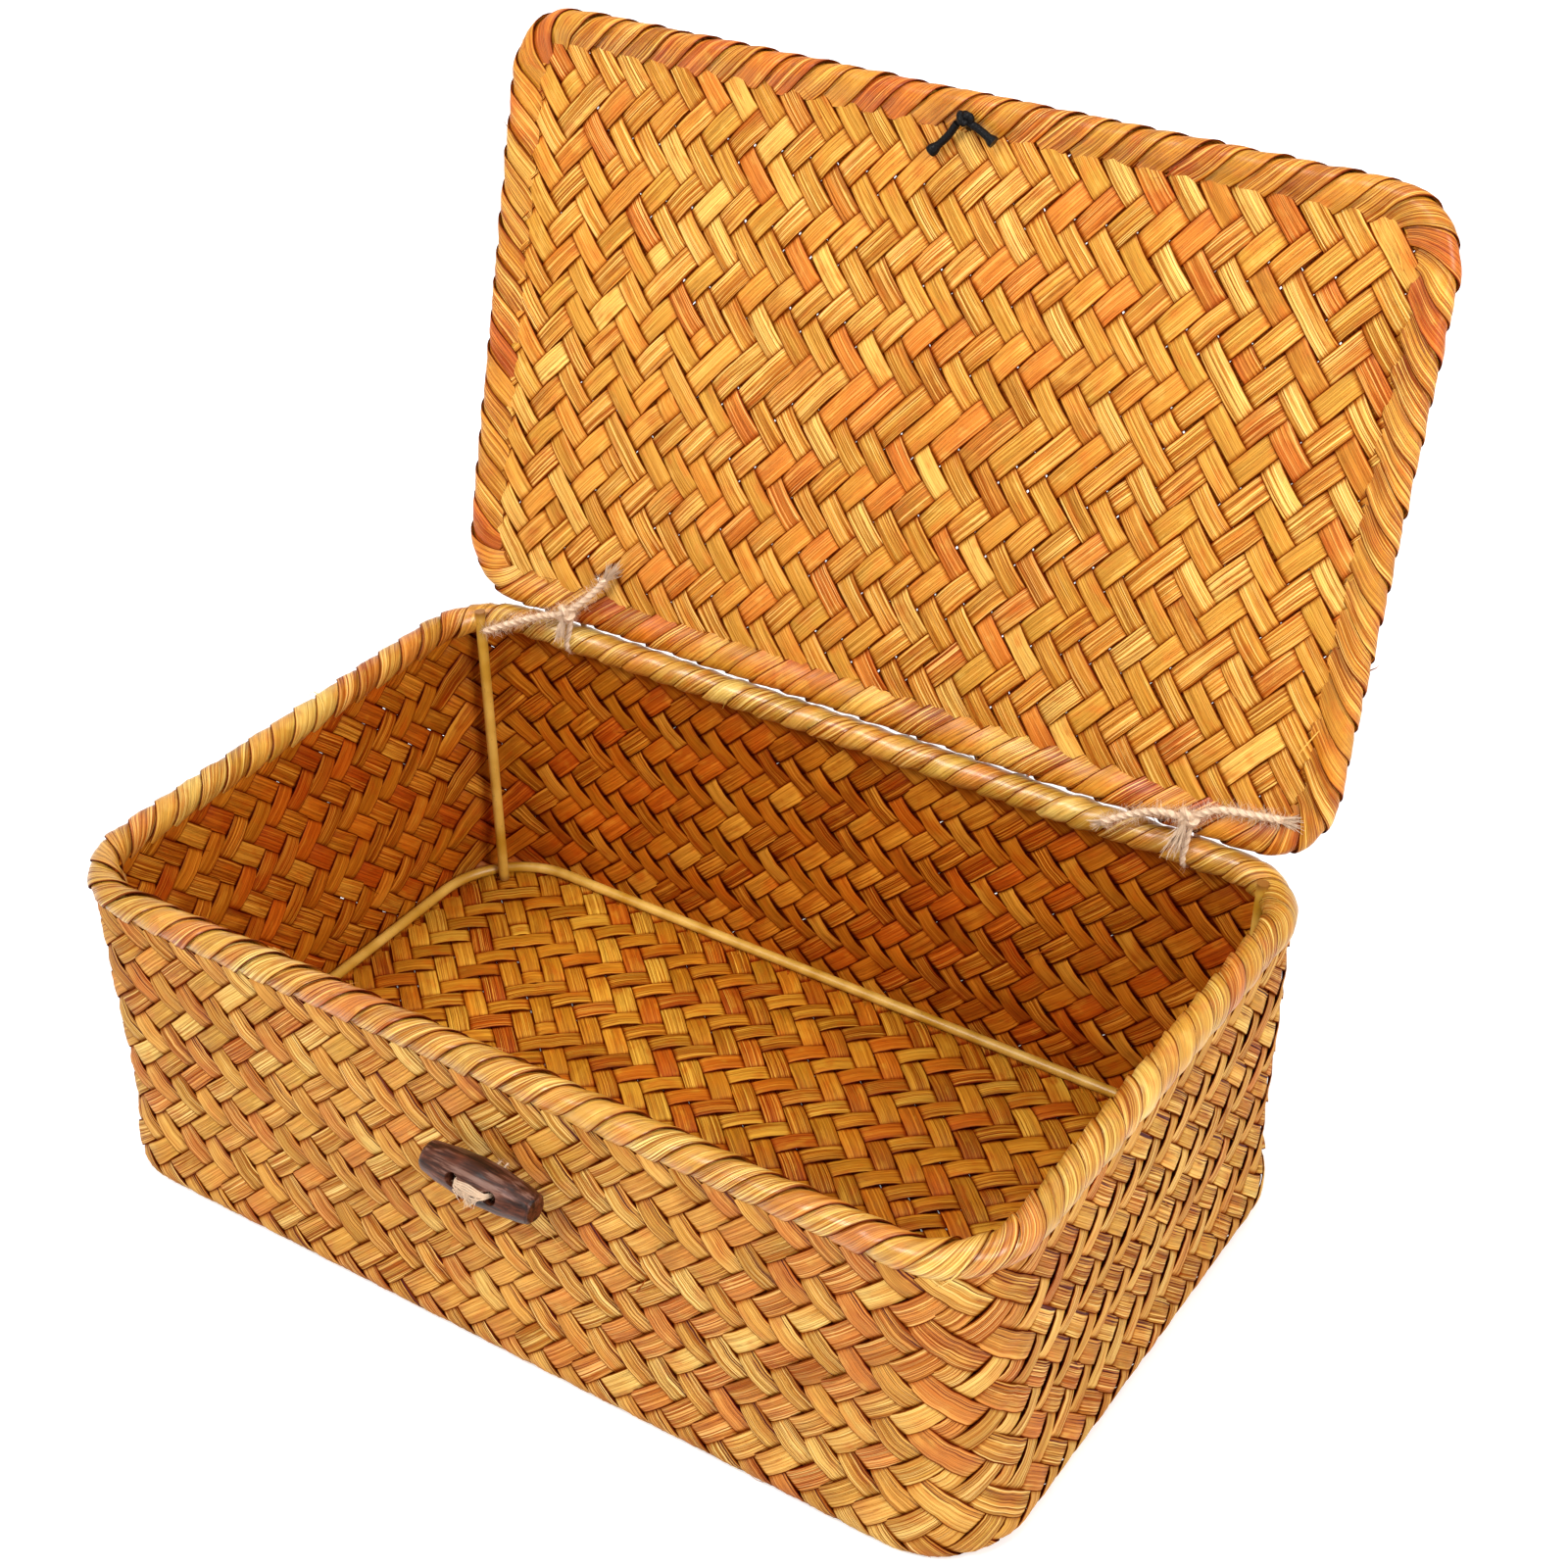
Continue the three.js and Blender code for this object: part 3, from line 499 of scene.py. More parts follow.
def round_courses(name, rows, width, depth, lean, low, high):
    """The strips' centre lines on a band that runs round the basket."""
    return helper_paths(name, [[(lean * width * (height / depth - 2 * row) * MM, height * MM, 0)
                                for height in (low, high)] for row in rows])


def corner_arcs(length, depth, corner, steps):
    """The points round each corner of a rounded rectangle, anticlockwise from its front right one."""
    for across, back, start in ((1, -1, -90), (1, 1, 0), (-1, 1, 90), (-1, -1, 180)):
        centre = Vector((across * (length / 2 - corner), back * (depth / 2 - corner)))
        angles = [math.radians(start + share * 90) for share in shares(steps)]
        yield [centre + corner * Vector((math.cos(angle), math.sin(angle))) for angle in angles]


def rounded_outline(name, length, depth, corner, shift_y=0.0):
    """A rounded rectangle from the middle of its front, anticlockwise from above, and its length."""
    start = here = Vector((0, -depth / 2))
    points = []
    for arc in [*corner_arcs(length, depth, corner, 24), [start]]:
        count = max(2, int((arc[0] - here).length / 6))
        points.extend(here.lerp(arc[0], i / count) for i in range(count))
        points.extend(arc[:-1])
        here = arc[-1]
    total = sum((points[i] - points[i - 1]).length for i in range(len(points)))
    return helper_curve(name, [(p.x * MM, (p.y + shift_y) * MM, 0) for p in points]), total


def wall_profile():
    """The wall's middle surface from inside the floor, round the foot and up to the rim, as (out, height)."""
    points = [(-6 + i, WALL_MIDDLE) for i in range(6)]
    radius = FOOT_RADIUS - WALL_MIDDLE
    for share in shares(12):
        angle = math.radians(-90 + share * 90)
        points.append((radius * math.cos(angle), FOOT_RADIUS + radius * math.sin(angle)))
    return points + [(wall_flare(height) - WALL_MIDDLE, height) for height in range(7, 104, 2)]


def wall_flare(height):
    """How far the wall's outer surface stands outside the rim wire's centre line, after the CAD's curve."""
    knots = [(5, 5.0), (26, 3.0), (80, 3.7), (102.9, 3.7)]
    height = min(height, knots[-1][0])
    for (low, start), (high, end) in zip(knots, knots[1:]):
        if height <= high:
            share = (height - low) / (high - low)
            return start + (end - start) * (share * share * (3 - 2 * share))


def roll_profile(radius, height, start, end, steps=40):
    """A roll's round from one angle to another, as (out, height)."""
    angles = [math.radians(start + (end - start) * i / steps) for i in range(steps + 1)]
    return [(radius * math.cos(angle), height + radius * math.sin(angle)) for angle in angles]


def lid_band_profile():
    """The folded border from the lid's inside, round the wire and back on its outside, as (out, height)."""
    slope = [(-8.6, 0.1), (-6.4, 0.9), (-4.4, 1.9), (-2.2, 2.75)]
    band = [(x, -y) for x, y in slope] + roll_profile(3.0, 0, -100, 100, 16) + slope[::-1]
    return [(spot.x, spot.y) for spot in smooth_path([(x, y, 0) for x, y in band], 3)]


def profile_length(points):
    return sum(math.dist(a, b) for a, b in zip(points, points[1:]))


def profile_curve(name, points):
    return helper_curve(name, [(out * MM, 0, height * MM) for out, height in points], False)


def plaited(name, courses, tools, material, wrapping=None, place=None, **values):
    """One family of strips, plaited flat, wrapped if need be, as a plain piece.

    Unless told otherwise, its rings have no turns and every row has its own level."""
    settings = dict(
        section=tools.section, sliver=tools.sliver, strip_width=6.95, strip_thickness=0.6, lift=0.72,
        outer_bulge=0.2, inner_bulge=0.2, outer_tilt=0.15, inner_tilt=0.15, fold_tilt=0.0, turn_length=0.85,
        wander=0.3, groove=0.35, flat_below=-1000, ring_step=1.8, slivers=500.0, centre_row=0.0,
        half_way_round=1e4, first_turn=-100.0, second_turn=1e6, material=material)
    with_modifier(courses, tools.plait, {**settings, **values})
    if wrapping:
        with_modifier(courses, tools.wrap, {**wrapping, "material": material})
    return plain_piece(courses, name, place)


def folded(name, rows_name, profile, rail_name, outline, round_length, tools, material, place=None, **values):
    """Strips folded side by side round an edge."""
    cell = round_length / (2 * WALL_STRIPS)
    wrapping = dict(outline=outline, round_length=round_length, profile=profile_curve(rail_name, profile),
                    profile_start=0.0)
    courses = round_courses(rows_name, range(WALL_STRIPS), cell, cell, 1.0, 0, profile_length(profile))
    return plaited(name, courses, tools, material, wrapping, place, cell_width=cell, cell_depth=cell,
                   lean=1.0, lift=0.0, outer_bulge=0.0, inner_bulge=0.0, ring_step=1.2, **values)


def dress(piece, body, slot, *nodes):
    """Hangs a finished piece on its body and hides the nodes that it stands for. The slot is not used."""
    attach(piece, body)
    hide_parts(*nodes)


def weave_basket(tools, straws):
    outline, round_length = rounded_outline("rim_outline", RIM_LENGTH, RIM_DEPTH, RIM_CORNER)
    cell = round_length / (2 * WALL_STRIPS)
    seat = WALL_ROWS_BELOW_SEAT * WALL_ROW
    profile = wall_profile()
    wrapping = dict(outline=outline, round_length=round_length, profile=profile_curve("wall_rail", profile),
                    profile_start=seat - 6)
    top = seat - 6 + profile_length(profile) - 0.5
    half = WALL_STRIPS // 2
    for name, lean, seed, outer, inner in (("rising", 1.0, 11, 0.25, 0.5), ("falling", -1.0, 12, 0.5, 0.25)):
        for number, rows in ((1, range(half)), (2, range(half, WALL_STRIPS))):
            courses = round_courses(f"{name}_lines_{number}", rows, cell, WALL_ROW, lean, seat - 3, top)
            dress(plaited(
                f"wall_strips_{name}_{number}", courses, tools, straws[name], wrapping, cell_width=cell,
                cell_depth=WALL_ROW, lean=lean, seed=seed, strip_width=7.4, outer_bulge=outer,
                inner_bulge=inner, outer_tilt=outer * -0.8, inner_tilt=inner * -0.8, flat_below=seat + 6,
                centre_row=1e4, half_way_round=float(WALL_STRIPS), first_turn=WALL_TURNS[0] / cell,
                second_turn=WALL_TURNS[1] / cell), "basket", "weave", "basket_weave")

    for name, lean, seed in (("rising", 1.0, 21), ("falling", -1.0, 22)):
        courses = flat_courses(f"floor_lines_{name}", cell, FLOOR_ROW, lean, RIM_LENGTH, RIM_DEPTH,
                               RIM_CORNER, 1.5)
        dress(plaited(
            f"floor_strips_{name}", courses, tools, straws["floor"], None,
            Matrix.Translation((0, 0, WALL_MIDDLE * MM)), cell_width=cell, cell_depth=FLOOR_ROW, lean=lean,
            seed=seed, centre_row=10.0, strip_width=6.98, lift=0.62, outer_bulge=0.3, inner_bulge=0.0,
            inner_tilt=0.0, wander=0.22, slivers=0.0), "basket", "weave", "basket_weave")

    roll = roll_profile(RIM_ROLL - 0.6, RIM_HEIGHT, -62, 232)
    dress(folded("rim_folds", "rim_lines", roll, "rim_rail", outline, round_length, tools, straws["rim"],
                 seed=31, fold_tilt=0.55, strip_width=8.6, wander=0.5, groove=0.7, slivers=900.0),
          "basket", "weave", "rim_roll")


def weave_lid(tools, straws):
    face_down = Matrix.Translation((0, -LID_DEPTH / 2 * MM, 0)) @ Matrix.Rotation(math.pi, 4, "X")
    for name, lean, seed in (("rising", 1.0, 41), ("falling", -1.0, 42)):
        courses = flat_courses(f"lid_lines_{name}", *LID_CELL, lean, LID_LENGTH, LID_DEPTH, LID_CORNER, 2.2)
        dress(plaited(
            f"lid_strips_{name}", courses, tools, straws["lid"], None, OPEN_LID @ face_down,
            cell_width=LID_CELL[0], cell_depth=LID_CELL[1], lean=lean, seed=seed, centre_row=14.0,
            strip_width=7.45, ring_step=1.9, lift=0.62, slivers=300.0), "lid", "weave", "lid_weave")

    outline, round_length = rounded_outline("lid_outline", LID_LENGTH, LID_DEPTH, LID_CORNER, -LID_DEPTH / 2)
    dress(folded("lid_border", "lid_border_lines", lid_band_profile(), "lid_rail", outline, round_length,
                 tools, straws["border"], OPEN_LID, seed=51, fold_tilt=0.5, strip_width=8.4, wander=0.45,
                 groove=0.6, slivers=700.0), "lid", "weave", "lid_roll")


# Wires, twine and cord


def line_tree():
    tree, nodes, given = geometry_tree(
        "Swept line", "Paths", Object=["Section", "Hair"], Distance=["Radius", "Step"], Int=["Seed"],
        Float=["Turns", "End Swell", "Unevenness", "Hairs", "Hair Size"])
    curve = nodes.line_along(given.paths, given.step)
    line = nodes.flows("GeometryNodeSplineParameter")
    curve = nodes.keep(curve, along=line.length, share=line.factor)
    twist = line.length * given.turns * 2 * math.pi
    curve = nodes.add("GeometryNodeSetCurveTilt", {"Curve": curve, "Tilt": twist})
    swell = line.factor.smooth(0.72, 0.93) * given.end_swell + 1.0
    uneven = (nodes.noise(line.length * 350.0, given.seed * 3.3, 0.0) - 0.5) * given.unevenness
    outline = nodes.keep(nodes.shape_of(given.section), across=line.factor)
    swept = nodes.sweep(curve, outline, given.radius, given.radius, swell + uneven)
    scatter = nodes.flows("GeometryNodeDistributePointsOnFaces", {
        "Mesh": swept, "Density": given.hairs, "Seed": given.seed})
    turn = nodes.add("FunctionNodeAlignRotationToVector", {"Vector": scatter.normal}, axis="Z")
    spin = nodes.vector(nodes.chance(-0.6, 0.6, 3), nodes.chance(-0.6, 0.6, 4), nodes.chance(0.0, 6.28, 5))
    spin = nodes.add("FunctionNodeEulerToRotation", {"Euler": spin})
    turn = nodes.add("FunctionNodeRotateRotation", {"Rotation": turn, "Rotate By": spin},
                     rotation_space="LOCAL")
    size = nodes.chance(0.3, 1.0, 6) * given.hair_size
    close_tree(nodes, nodes.with_copies(swept, scatter.points, given.hair, turn, size), given.material)
    return tree


def round_section(name, sides, lobes=1, depth=0.0):
    """A circle of radius 1, or one with that many lobes."""
    points = []
    for angle in circle(sides):
        reach = 1 - depth * abs(math.sin(angle * lobes / 2)) ** 1.5
        points.append((reach * math.cos(angle), reach * math.sin(angle), 0))
    return helper_curve(name, points)


def hair_shape():
    """A fine fibre 3 mm long that stands on +Z and leans over."""
    rings = []
    for t in shares(5):
        middle = Vector((1.5 * t * t, 0.35 * math.sin(4 * t), 2.4 * t))
        rings.append([middle + (0.055 - 0.03 * t) * Vector((math.cos(a), math.sin(a), 0))
                      for a in (0, 2.09, 4.19)])
    return helper_solid("hair_shape", rings)


def swept(name, paths, tools, material, closed=False, place=None, **values):
    """Wires, twine or cord along paths in millimetres, as a plain piece."""
    helper = helper_paths(name + "_path", [[metres(point) for point in path] for path in paths], closed)
    settings = dict(section=tools.round, hair=tools.hair, radius=1.0, turns=0.0, step=1.5, end_swell=0.0,
                    unevenness=0.0, hairs=0.0, hair_size=1.0, seed=1, material=material)
    with_modifier(helper, tools.line, {**settings, **values})
    return plain_piece(helper, name, place)


def twisted(name, paths, tools, jute, closed=False, **values):
    """Three-strand twine."""
    settings = dict(section=tools.lobed, turns=130.0, step=0.4, unevenness=0.22, hairs=3.0e6, hair_size=0.9)
    return swept(name, paths, tools, jute, closed, **{**settings, **values})


def bend_wires(tools, paint):
    lid_place = OPEN_LID @ Matrix.Translation((0, -LID_DEPTH / 2 * MM, 0))
    for name, length, depth, corner, height, radius, body, place in (
            ("rim_wire", RIM_LENGTH, RIM_DEPTH, RIM_CORNER, RIM_HEIGHT, WIRE_RADIUS, "basket", None),
            ("base_wire", RIM_LENGTH, RIM_DEPTH, BASE_WIRE_CORNER, BASE_WIRE_HEIGHT, WIRE_RADIUS, "basket",
             None),
            ("lid_wire", LID_LENGTH, LID_DEPTH, LID_CORNER, 0, LID_WIRE_RADIUS, "lid", lid_place)):
        path = [(p.x, p.y, height) for arc in corner_arcs(length, depth, corner, 16) for p in arc]
        dress(swept(f"{name}_ring", [path], tools, paint, True, place, radius=radius, unevenness=0.03),
              body, "frame_wire", name)
    for side, across, back in (("front_left", -1, -1), ("front_right", 1, -1), ("back_left", -1, 1),
                               ("back_right", 1, 1)):
        spots = []
        for corner, height in ((BASE_WIRE_CORNER, POST_FOOT), (RIM_CORNER, POST_HEAD)):
            reach = (corner - 2 * WIRE_RADIUS - 0.3) * math.sqrt(0.5)
            spots.append(Vector((across * (RIM_LENGTH / 2 - corner + reach),
                                 back * (RIM_DEPTH / 2 - corner + reach), height)))
        foot, head = spots
        if back < 0:
            head = foot.lerp(head, FRONT_POST_SHARE)
        path = [foot.lerp(head, share) for share in shares(40)]
        dress(swept(f"post_{side}_bar", [path], tools, paint, radius=WIRE_RADIUS, unevenness=0.04, seed=3),
              "basket", "frame_wire", f"post_{side}")


def belt_path(x, low_radius, high_radius):
    """A closed line round the rim's roll and the lid's roll, above each other at one x."""
    rolls = ((Vector((x, RIM_DEPTH / 2, RIM_HEIGHT)), low_radius), (HINGE + Vector((x, 0, 0)), high_radius))
    path = []
    for angle in circle(72)[::3]:
        way = Vector((0, math.cos(angle), math.sin(angle)))
        centre, radius = max(rolls, key=lambda roll: roll[0].dot(way) + roll[1])
        path.append(centre + radius * way)
    return smooth_path(path, 6, True)


def knot_path(centre, size, turn=0.0):
    """A line that runs through an overhand knot's turns."""
    path = []
    for a in circle(96):
        spot = Vector(((math.sin(a) + 2 * math.sin(2 * a)) * size[0], -1.6 * math.sin(3 * a) * size[1],
                       (math.cos(a) - 2 * math.cos(2 * a)) * size[2])) / 3
        path.append(Vector(centre) + Matrix.Rotation(turn, 3, "Y") @ spot)
    return path


def tuft_paths(root, heading, length, spread, count, seed):
    """Loose fibres that fan out from a root."""
    chance = random.Random(seed)

    def anyhow(reach):
        return Vector([chance.uniform(-reach, reach) for _ in range(3)])

    paths = []
    for _ in range(count):
        way = Vector(heading).normalized() + spread * anyhow(1)
        bend = 0.5 * spread * anyhow(1)
        reach = length * chance.uniform(0.45, 1.0)
        start = Vector(root) + anyhow(0.6)
        paths.append([start + reach * (way * t + bend * t * t) for t in (0, 0.2, 0.4, 0.6, 0.8, 1.0)])
    return paths


def joined(name, *pieces):
    """Several plain pieces as one."""
    target = pieces[0]
    with bpy.context.temp_override(active_object=target, selected_editable_objects=pieces):
        bpy.ops.object.join()
    target.name = target.data.name = name
    return target


def loose_fibres(name, paths, tools, material, radius):
    return swept(name, paths, tools, material, section=tools.fine, radius=radius, step=0.9, end_swell=-0.5)


def with_tuft(name, piece, tuft, tools, material):
    return joined(name, piece, loose_fibres(name + "_fibres", tuft, tools, material, 0.12))


def tie_twine(tools, jute):
    """Each tie has a knot's place, a seed, the knot's tuft, where its bend starts and its two tails.

    A tail has its way from the knot, and its tuft's length, number of fibres and spread."""
    ties = (
        ("left", Vector((-108.5, 87.6, 116.0)), 9, ((-0.02, -0.45, -1.0), 7.0, 0.24, 90), 0.100, (
            ("left", [(-9.8, -1.6, -3.1), (-19.8, -4.8, -7.4), (-28.3, -7.6, -11.6)], 1.6, 16, 0.15),
            ("right", [(6, 1.6, 5.6), (9.7, 4.2, 9.8), (12.6, 6.2, 13.8)], 6.0, 70, 0.42))),
        ("right", Vector((113.5, 88.7, 118.0)), 19, ((-0.2, -0.55, -1.0), 9.5, 0.3, 150), 0.105, (
            ("left", [(-9, -2, 0.2), (-16.8, -3.1, -3.2), (-24.5, -4.9, -7.6)], 4.0, 40, 0.25),
            ("right", [(8, 1.4, 5), (16.5, 3.4, 5.6), (26.8, 4.7, 6.5)], 5.5, 60, 0.3))),
    )
    for side, knot, seed, tuft, low, tails in ties:
        name = f"tie_{side}"
        loop = twisted(f"{name}_ring", [belt_path(knot.x, 4.3, 3.4)], tools, jute, True, radius=1.1,
                       hairs=3e5, seed=seed)
        dress(loop, "basket", "twine", f"{name}_loop")
        turns = twisted(f"{name}_turns", [knot_path(knot, (2.7, 1.7, 2.4), 0.5)], tools, jute, True,
                        radius=1.15, seed=seed + 1)
        root = knot + Vector((-0.4, -0.8, -1.6))
        bending = {f"{name}_knot": with_tuft(f"{name}_wound_knot", turns, tuft_paths(root, *tuft, seed),
                                             tools, jute)}
        for end, offsets, reach, count, spread in tails:
            points = [knot + Vector(offset) for offset in offsets]
            path = smooth_path([knot + 0.12 * Vector(offsets[0])] + points, 14)
            tail = twisted(f"{name}_strand_{end}", [path], tools, jute, radius=1.2, seed=seed + 2,
                           hair_size=1.1)
            ahead = (points[-1] - points[-2]).normalized()
            fan = tuft_paths(points[-1] - 1.2 * ahead, ahead, reach + 1.2, spread, count, seed + 3)
            bending[f"{name}_tail_{end}"] = with_tuft(f"{name}_tail_twine_{end}", tail, fan, tools, jute)
        for node, piece in bending.items():
            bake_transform(piece, "basket", "lid", (knot.x * MM, 0.087, low), (knot.x * MM, 0.090, 0.130))
            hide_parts(node)


def toggle_barrel():
    """A barrel that is thickest in the middle, with rounded ends and a slightly uneven surface."""
    rings = []
    for t in shares(60):
        x = TOGGLE_LENGTH * (t - 0.5)
        radius = TOGGLE_END_RADIUS + (TOGGLE_RADIUS - TOGGLE_END_RADIUS) * (1 - (2 * t - 1) ** 2)
        from_end = min(t, 1 - t) * TOGGLE_LENGTH
        ease = 1.6 if t < 0.5 else 0.6
        if from_end < ease:
            radius -= ease * (1 - math.sqrt(max(0.0, 1 - (1 - from_end / ease) ** 2)))
        ring = []
        for angle in circle(72):
            reach = radius + (0.06 * math.sin(3 * angle + 0.9 * x) + 0.05 * math.sin(7 * angle - 0.23 * x))
            ring.append((x + TOGGLE_HOLE_OFFSET, reach * math.cos(angle), reach * math.sin(angle)))
        rings.append(ring)
    return helper_solid("toggle_barrel", rings)


def toggle_drill(side):
    """What a hole takes away: a bar that widens outside the barrel."""
    rings = []
    for y in (-9, -5.6, -5.0, 5.0, 5.6, 9):
        radius = TOGGLE_HOLE_RADIUS + max(0.0, abs(y) - 5.0) * 0.5
        rings.append([(side * TOGGLE_HOLE_SPACING / 2 + radius * math.cos(a), y, -radius * math.sin(a))
                      for a in circle(32)])
    return helper_solid(f"toggle_drill_{side}", rings)


def carve_toggle(tools, wood, jute):
    """A barrel with two holes across it, and the twine that holds it through them."""
    barrel, drills = toggle_barrel(), [toggle_drill(side) for side in (-1, 1)]
    local = Matrix.Translation(metres(TOGGLE_PLACE)) @ Matrix.Rotation(TOGGLE_TILT, 4, "Y")
    for drill in drills:
        cutting = barrel.modifiers.new("hole", "BOOLEAN")
        cutting.operation, cutting.object, cutting.solver = "DIFFERENCE", drill, "EXACT"
    barrel.data.materials.append(wood)
    piece = plain_piece(barrel, "toggle_wood", local @ Matrix.Rotation(TOGGLE_ROLL, 4, "X"))
    for drill in drills:
        bpy.data.objects.remove(drill)
    for polygon in piece.data.polygons:
        polygon.use_smooth = True
    piece.data.set_sharp_from_angle(angle=math.radians(38))
    dress(piece, "toggle", "toggle", "toggle")

    front, behind, far = -(TOGGLE_RADIUS + 0.9), TOGGLE_RADIUS + 1.2, TOGGLE_HOLE_SPACING / 2
    turn = Matrix.Rotation(TOGGLE_ROLL, 3, "X")
    chance = random.Random(5)
    strands = []
    for _ in range(11):
        lift, sag, slack = chance.uniform(-1.1, 1.1), chance.uniform(-0.9, 0.5), chance.uniform(-0.4, 0.5)
        half = [(-far, behind, 0), (-far + 0.3, 0, lift * 0.3),
                (-far + 1.0, front + 2.2, lift * 0.5 + sag * 0.2),
                (-far + 2.2, front + 0.5 - slack, lift * 0.7 + sag * 0.6)]
        other_half = [(-x, y, z) for x, y, z in reversed(half)]
        strand = [turn @ Vector(point)
                  for point in half + [(0, front + 0.1 - slack, lift * 1.2 + sag)] + other_half]
        strands.append(smooth_path([(-1.2, 11.6, 0), (-1.4, behind, 0)] + strand
                                   + [(1.4, behind, 0), (1.2, 11.6, 0)], 8))
    stitch = swept("toggle_twine", strands, tools, jute, section=tools.lobed, radius=0.25, seed=61, step=0.6,
                   unevenness=0.5, hairs=4e5, hair_size=0.7)
    knot = twisted("toggle_inner_knot", [knot_path((0, 14.2, 0), (2.6, 1.4, 2.2))], tools, jute, True,
                   radius=1.1, seed=62)
    fibres = []
    for x, heading, reach, count in ((-3, (1, -0.2, -0.3), 4, 18), (0.5, (0.6, -0.3, -0.6), 3, 22),
                                     (4.0, (-0.7, -0.3, -0.4), 3, 18)):
        fibres += tuft_paths(turn @ Vector((x, front - 0.9, -0.6)), heading, reach, 0.5, count, 63 + count)
    twine = joined("toggle_twine", stitch, knot, loose_fibres("toggle_fibres", fibres, tools, jute, 0.09))
    twine.data.transform(local)
    dress(twine, "toggle", "twine", "toggle_stitch")


def tie_elastic(tools, rubber):
    """The black cord on the lid's front edge: a knot and two ends inside, a loop outside."""
    knot = Vector((ELASTIC_X, 3.9 - LID_DEPTH, -5.2))
    hole = ELASTIC_X, ELASTIC_INSET - LID_DEPTH
    turns = swept("elastic_turns", [knot_path(knot, (2.3, 2.0, 1.3), 0.35)], tools, rubber, True, OPEN_LID,
                  radius=1.15, step=0.5, seed=71)
    stub = swept("elastic_stub", [[knot, knot + Vector((0.3, 1.2, 2.0)), (*hole, -1.5), (*hole, 3.0)]],
                 tools, rubber, False, OPEN_LID, radius=1.15, step=0.5)
    dress(joined("elastic_wound_knot", turns, stub), "lid", "elastic", "elastic_knot")
    for side, offsets in (("left", [(-2.2, 1.6, 0.4), (-5.2, 6.0, 1.2), (-9.8, 10.9, 1.4)]),
                          ("right", [(1.6, 0.8, 0.3), (5.6, 2.6, 1.0), (9.6, 4.9, 1.5)])):
        path = smooth_path([knot + Vector(offset) for offset in offsets], 12)
        dress(swept(f"elastic_tail_{side}", [path], tools, rubber, False, OPEN_LID, radius=1.15, step=0.45,
                    end_swell=0.55, seed=72, unevenness=0.1, hairs=1.5e5, hair_size=0.35),
              "lid", "elastic", f"elastic_end_{side}")

    half = [(1.3, 3.4), (1.6, 6), (1.7, 8.4), (4.6, 18), (7.4, 33), (6.6, 43), (3.4, 48.6)]
    route = [(-x, reach) for x, reach in half] + [(0, 50)] + half[::-1]
    path = smooth_path([(*spot, 0) for spot in route], 12)
    place = (OPEN_LID @ Matrix.Translation(metres((ELASTIC_X, -LID_DEPTH, 0)))
             @ Matrix.Rotation(ELASTIC_LEAN, 4, "X"))
    piece = swept("elastic_cord", [path], tools, rubber, False, place, radius=ELASTIC_RADIUS, step=0.8)
    dress(piece, "elastic", "elastic", "elastic_loop")


# Materials


def colour_ramp(nodes, value, stops):
    node = nodes.node("ShaderNodeValToRGB", {"Fac": value})
    elements = node.color_ramp.elements
    while len(elements) < len(stops):
        elements.new(1.0)
    for element, (position, *colour) in zip(elements, stops):
        element.position, element.color = position, srgb(*colour)
    return Flow(nodes, node.outputs["Color"])


